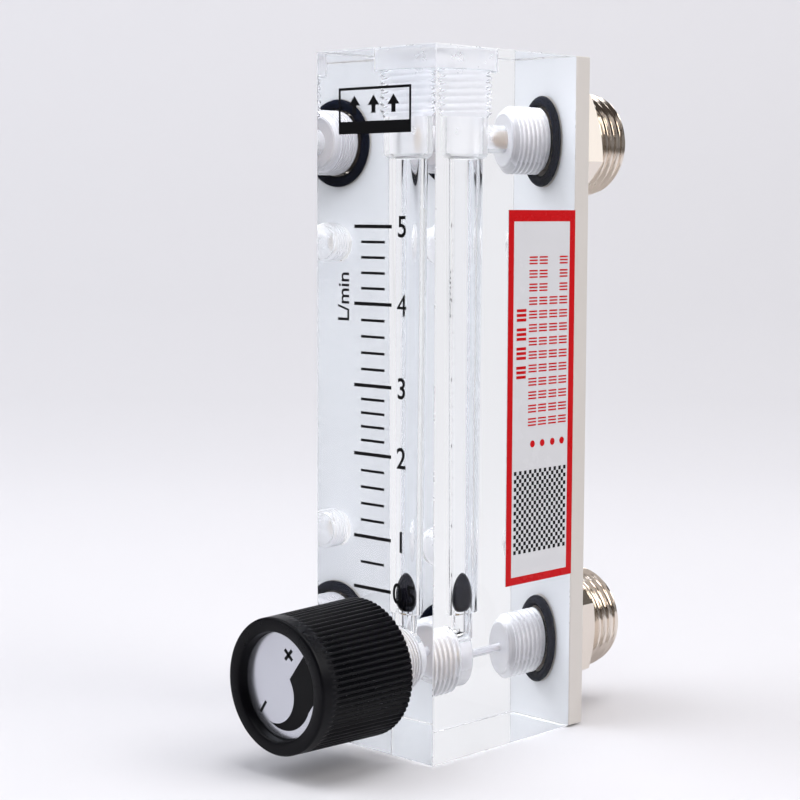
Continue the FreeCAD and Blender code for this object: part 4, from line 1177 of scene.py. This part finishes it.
def paperWithPaintedShade(tree, place, away):
    # painted shade: the paper's colour falls off along the sweep and rises a little again towards
    # its far end, standing in for how the lamps light it
    paintedFalloff = tree.nodes.new("ShaderNodeValToRGB")
    stops = paintedFalloff.color_ramp.elements
    for position, value in studio["shadeStops"]:
        share = position / studio["shadeReach"]
        stop = stops.new(share) if position else stops[0]
        stop.position = share
        stop.color = [value * warm for warm in studio["warmth"]] + [1]
    stops[-1].color = stops[-2].color
    run = along(tree, place, away + Vector((0, 0, 1)))
    tree.links.new(sums(tree).over(run, studio["shadeReach"]), paintedFalloff.inputs["Fac"])
    grain = addGroup(tree, fineGrain, Size=800.0, Tone=(1, 1, 1, 1),
                     Shade=(0.985, 0.985, 0.985, 1), Tone_Size=4.0)
    return mixColors(tree, "MULTIPLY", 1.0, paintedFalloff.outputs["Color"], grain["Color"])


def sweepMesh(away, across):
    # a level floor that sweeps up into a backdrop behind the object, as seen by the camera
    drop, sweep, bend = studio["drop"], studio["sweep"], studio["bend"]
    line = [(-studio["reach"], -drop)]
    for k in range(studio["bendSteps"] + 1):
        angle = math.radians(90 * k / studio["bendSteps"])
        line.append((bend + sweep * math.sin(angle), sweep * (1 - math.cos(angle)) - drop))
    line.append((bend + sweep, studio["tall"]))
    mesh = bpy.data.meshes.new("floor")
    verts = [away * run + across * wide + Vector((0, 0, height))
             for run, height in line for wide in (-studio["wide"], studio["wide"])]
    faces = [(2 * k, 2 * k + 1, 2 * k + 3, 2 * k + 2) for k in range(len(line) - 1)]
    mesh.from_pydata([tuple(vert) for vert in verts], [], faces)
    mesh.polygons.foreach_set("use_smooth", [True] * len(faces))
    return mesh


def makeFloor():
    around = math.radians(camera["around"])
    away = Vector((-math.sin(around), math.cos(around), 0))
    across = Vector((away.y, -away.x, 0))
    mesh = sweepMesh(away, across)
    paper, tree, shader = newFinish("paleSweep", Roughness=0.7, Specular_IOR_Level=0.2)
    place = objectPlace(tree)
    tree.links.new(paperWithPaintedShade(tree, place, away), shader.inputs["Base Color"])

    # painted reflection: to mirrored rays the paper shows a flat dark colour away from the object,
    # as if it ended there, except behind the object
    do = sums(tree)
    rightward = along(tree, place, across)
    beyond = do.most(along(tree, place, -away), do.most(
        do.times(rightward, studio["rightCut"]), do.times(rightward, -1.0)))
    edge = spread(tree, beyond, studio["near"], studio["far"])
    mirrored, _, through = rayKinds(tree)
    paintedDarkReflection, lit = [addNode(tree, "ShaderNodeEmission", Color=studio[key]).outputs["Emission"]
                for key in ("mirrored", "seen")]
    first = mixShaders(tree, do.times(mirrored, edge), shader.outputs["BSDF"], paintedDarkReflection)
    last = mixShaders(tree, do.times(through, studio["clearView"]), first, lit)
    tree.links.new(last, tree.nodes["Material Output"].inputs["Surface"])
    mesh.materials.append(paper)
    holder(mesh)


def makeLight():
    # a light tent, bright behind and above, dark over the front, half lit at eye level
    world = bpy.data.worlds.new("studio")
    scene.world = world
    world.use_nodes = True
    tree = world.node_tree
    way = tree.nodes.new("ShaderNodeTexCoord").outputs["Generated"]
    do = sums(tree)
    above = spread(tree, along(tree, way, (0, 0.8, 0.6)), 0.5, 0.75)
    eyeLevel = do.less(1.0, spread(tree, along(tree, way, (0, 0, 1)), 0.12, 0.28))
    bright = do.most(above, do.times(eyeLevel, studio["level"]))
    tent = tree.nodes["Background"]
    tree.links.new(mixColors(tree, "MIX", bright, studio["dark"], studio["bright"]),
                   tent.inputs["Color"])

    # that pattern is for mirrored light only; the rest of the light is even
    mirrored, direct, _ = rayKinds(tree)
    fill, seen = [addNode(tree, "ShaderNodeBackground", Color=studio[key]).outputs["Background"]
                  for key in ("fill", "seen")]
    shader = mixShaders(tree, do.less(1.0, mirrored), tent.outputs[0], fill)
    tree.links.new(mixShaders(tree, direct, shader, seen),
                   tree.nodes["World Output"].inputs["Surface"])
    for settings in lamps:
        lamp = bpy.data.lights.new(settings["name"], "AREA")
        lamp.shape = "RECTANGLE"
        lamp.size, lamp.size_y = settings["size"]
        lamp.energy = settings["power"]
        lamp.color = settings["color"]
        place = Vector(settings["place"])
        aim = (Vector((0, 0, 0.05)) - place).to_track_quat("-Z", "Y")
        holder(lamp).matrix_world = Matrix.Translation(place) @ aim.to_matrix().to_4x4()


makeCamera()
makeFloor()
makeLight()
scene.view_settings.view_transform = "Standard"

bpy.context.view_layer.update()
print("scene ready")
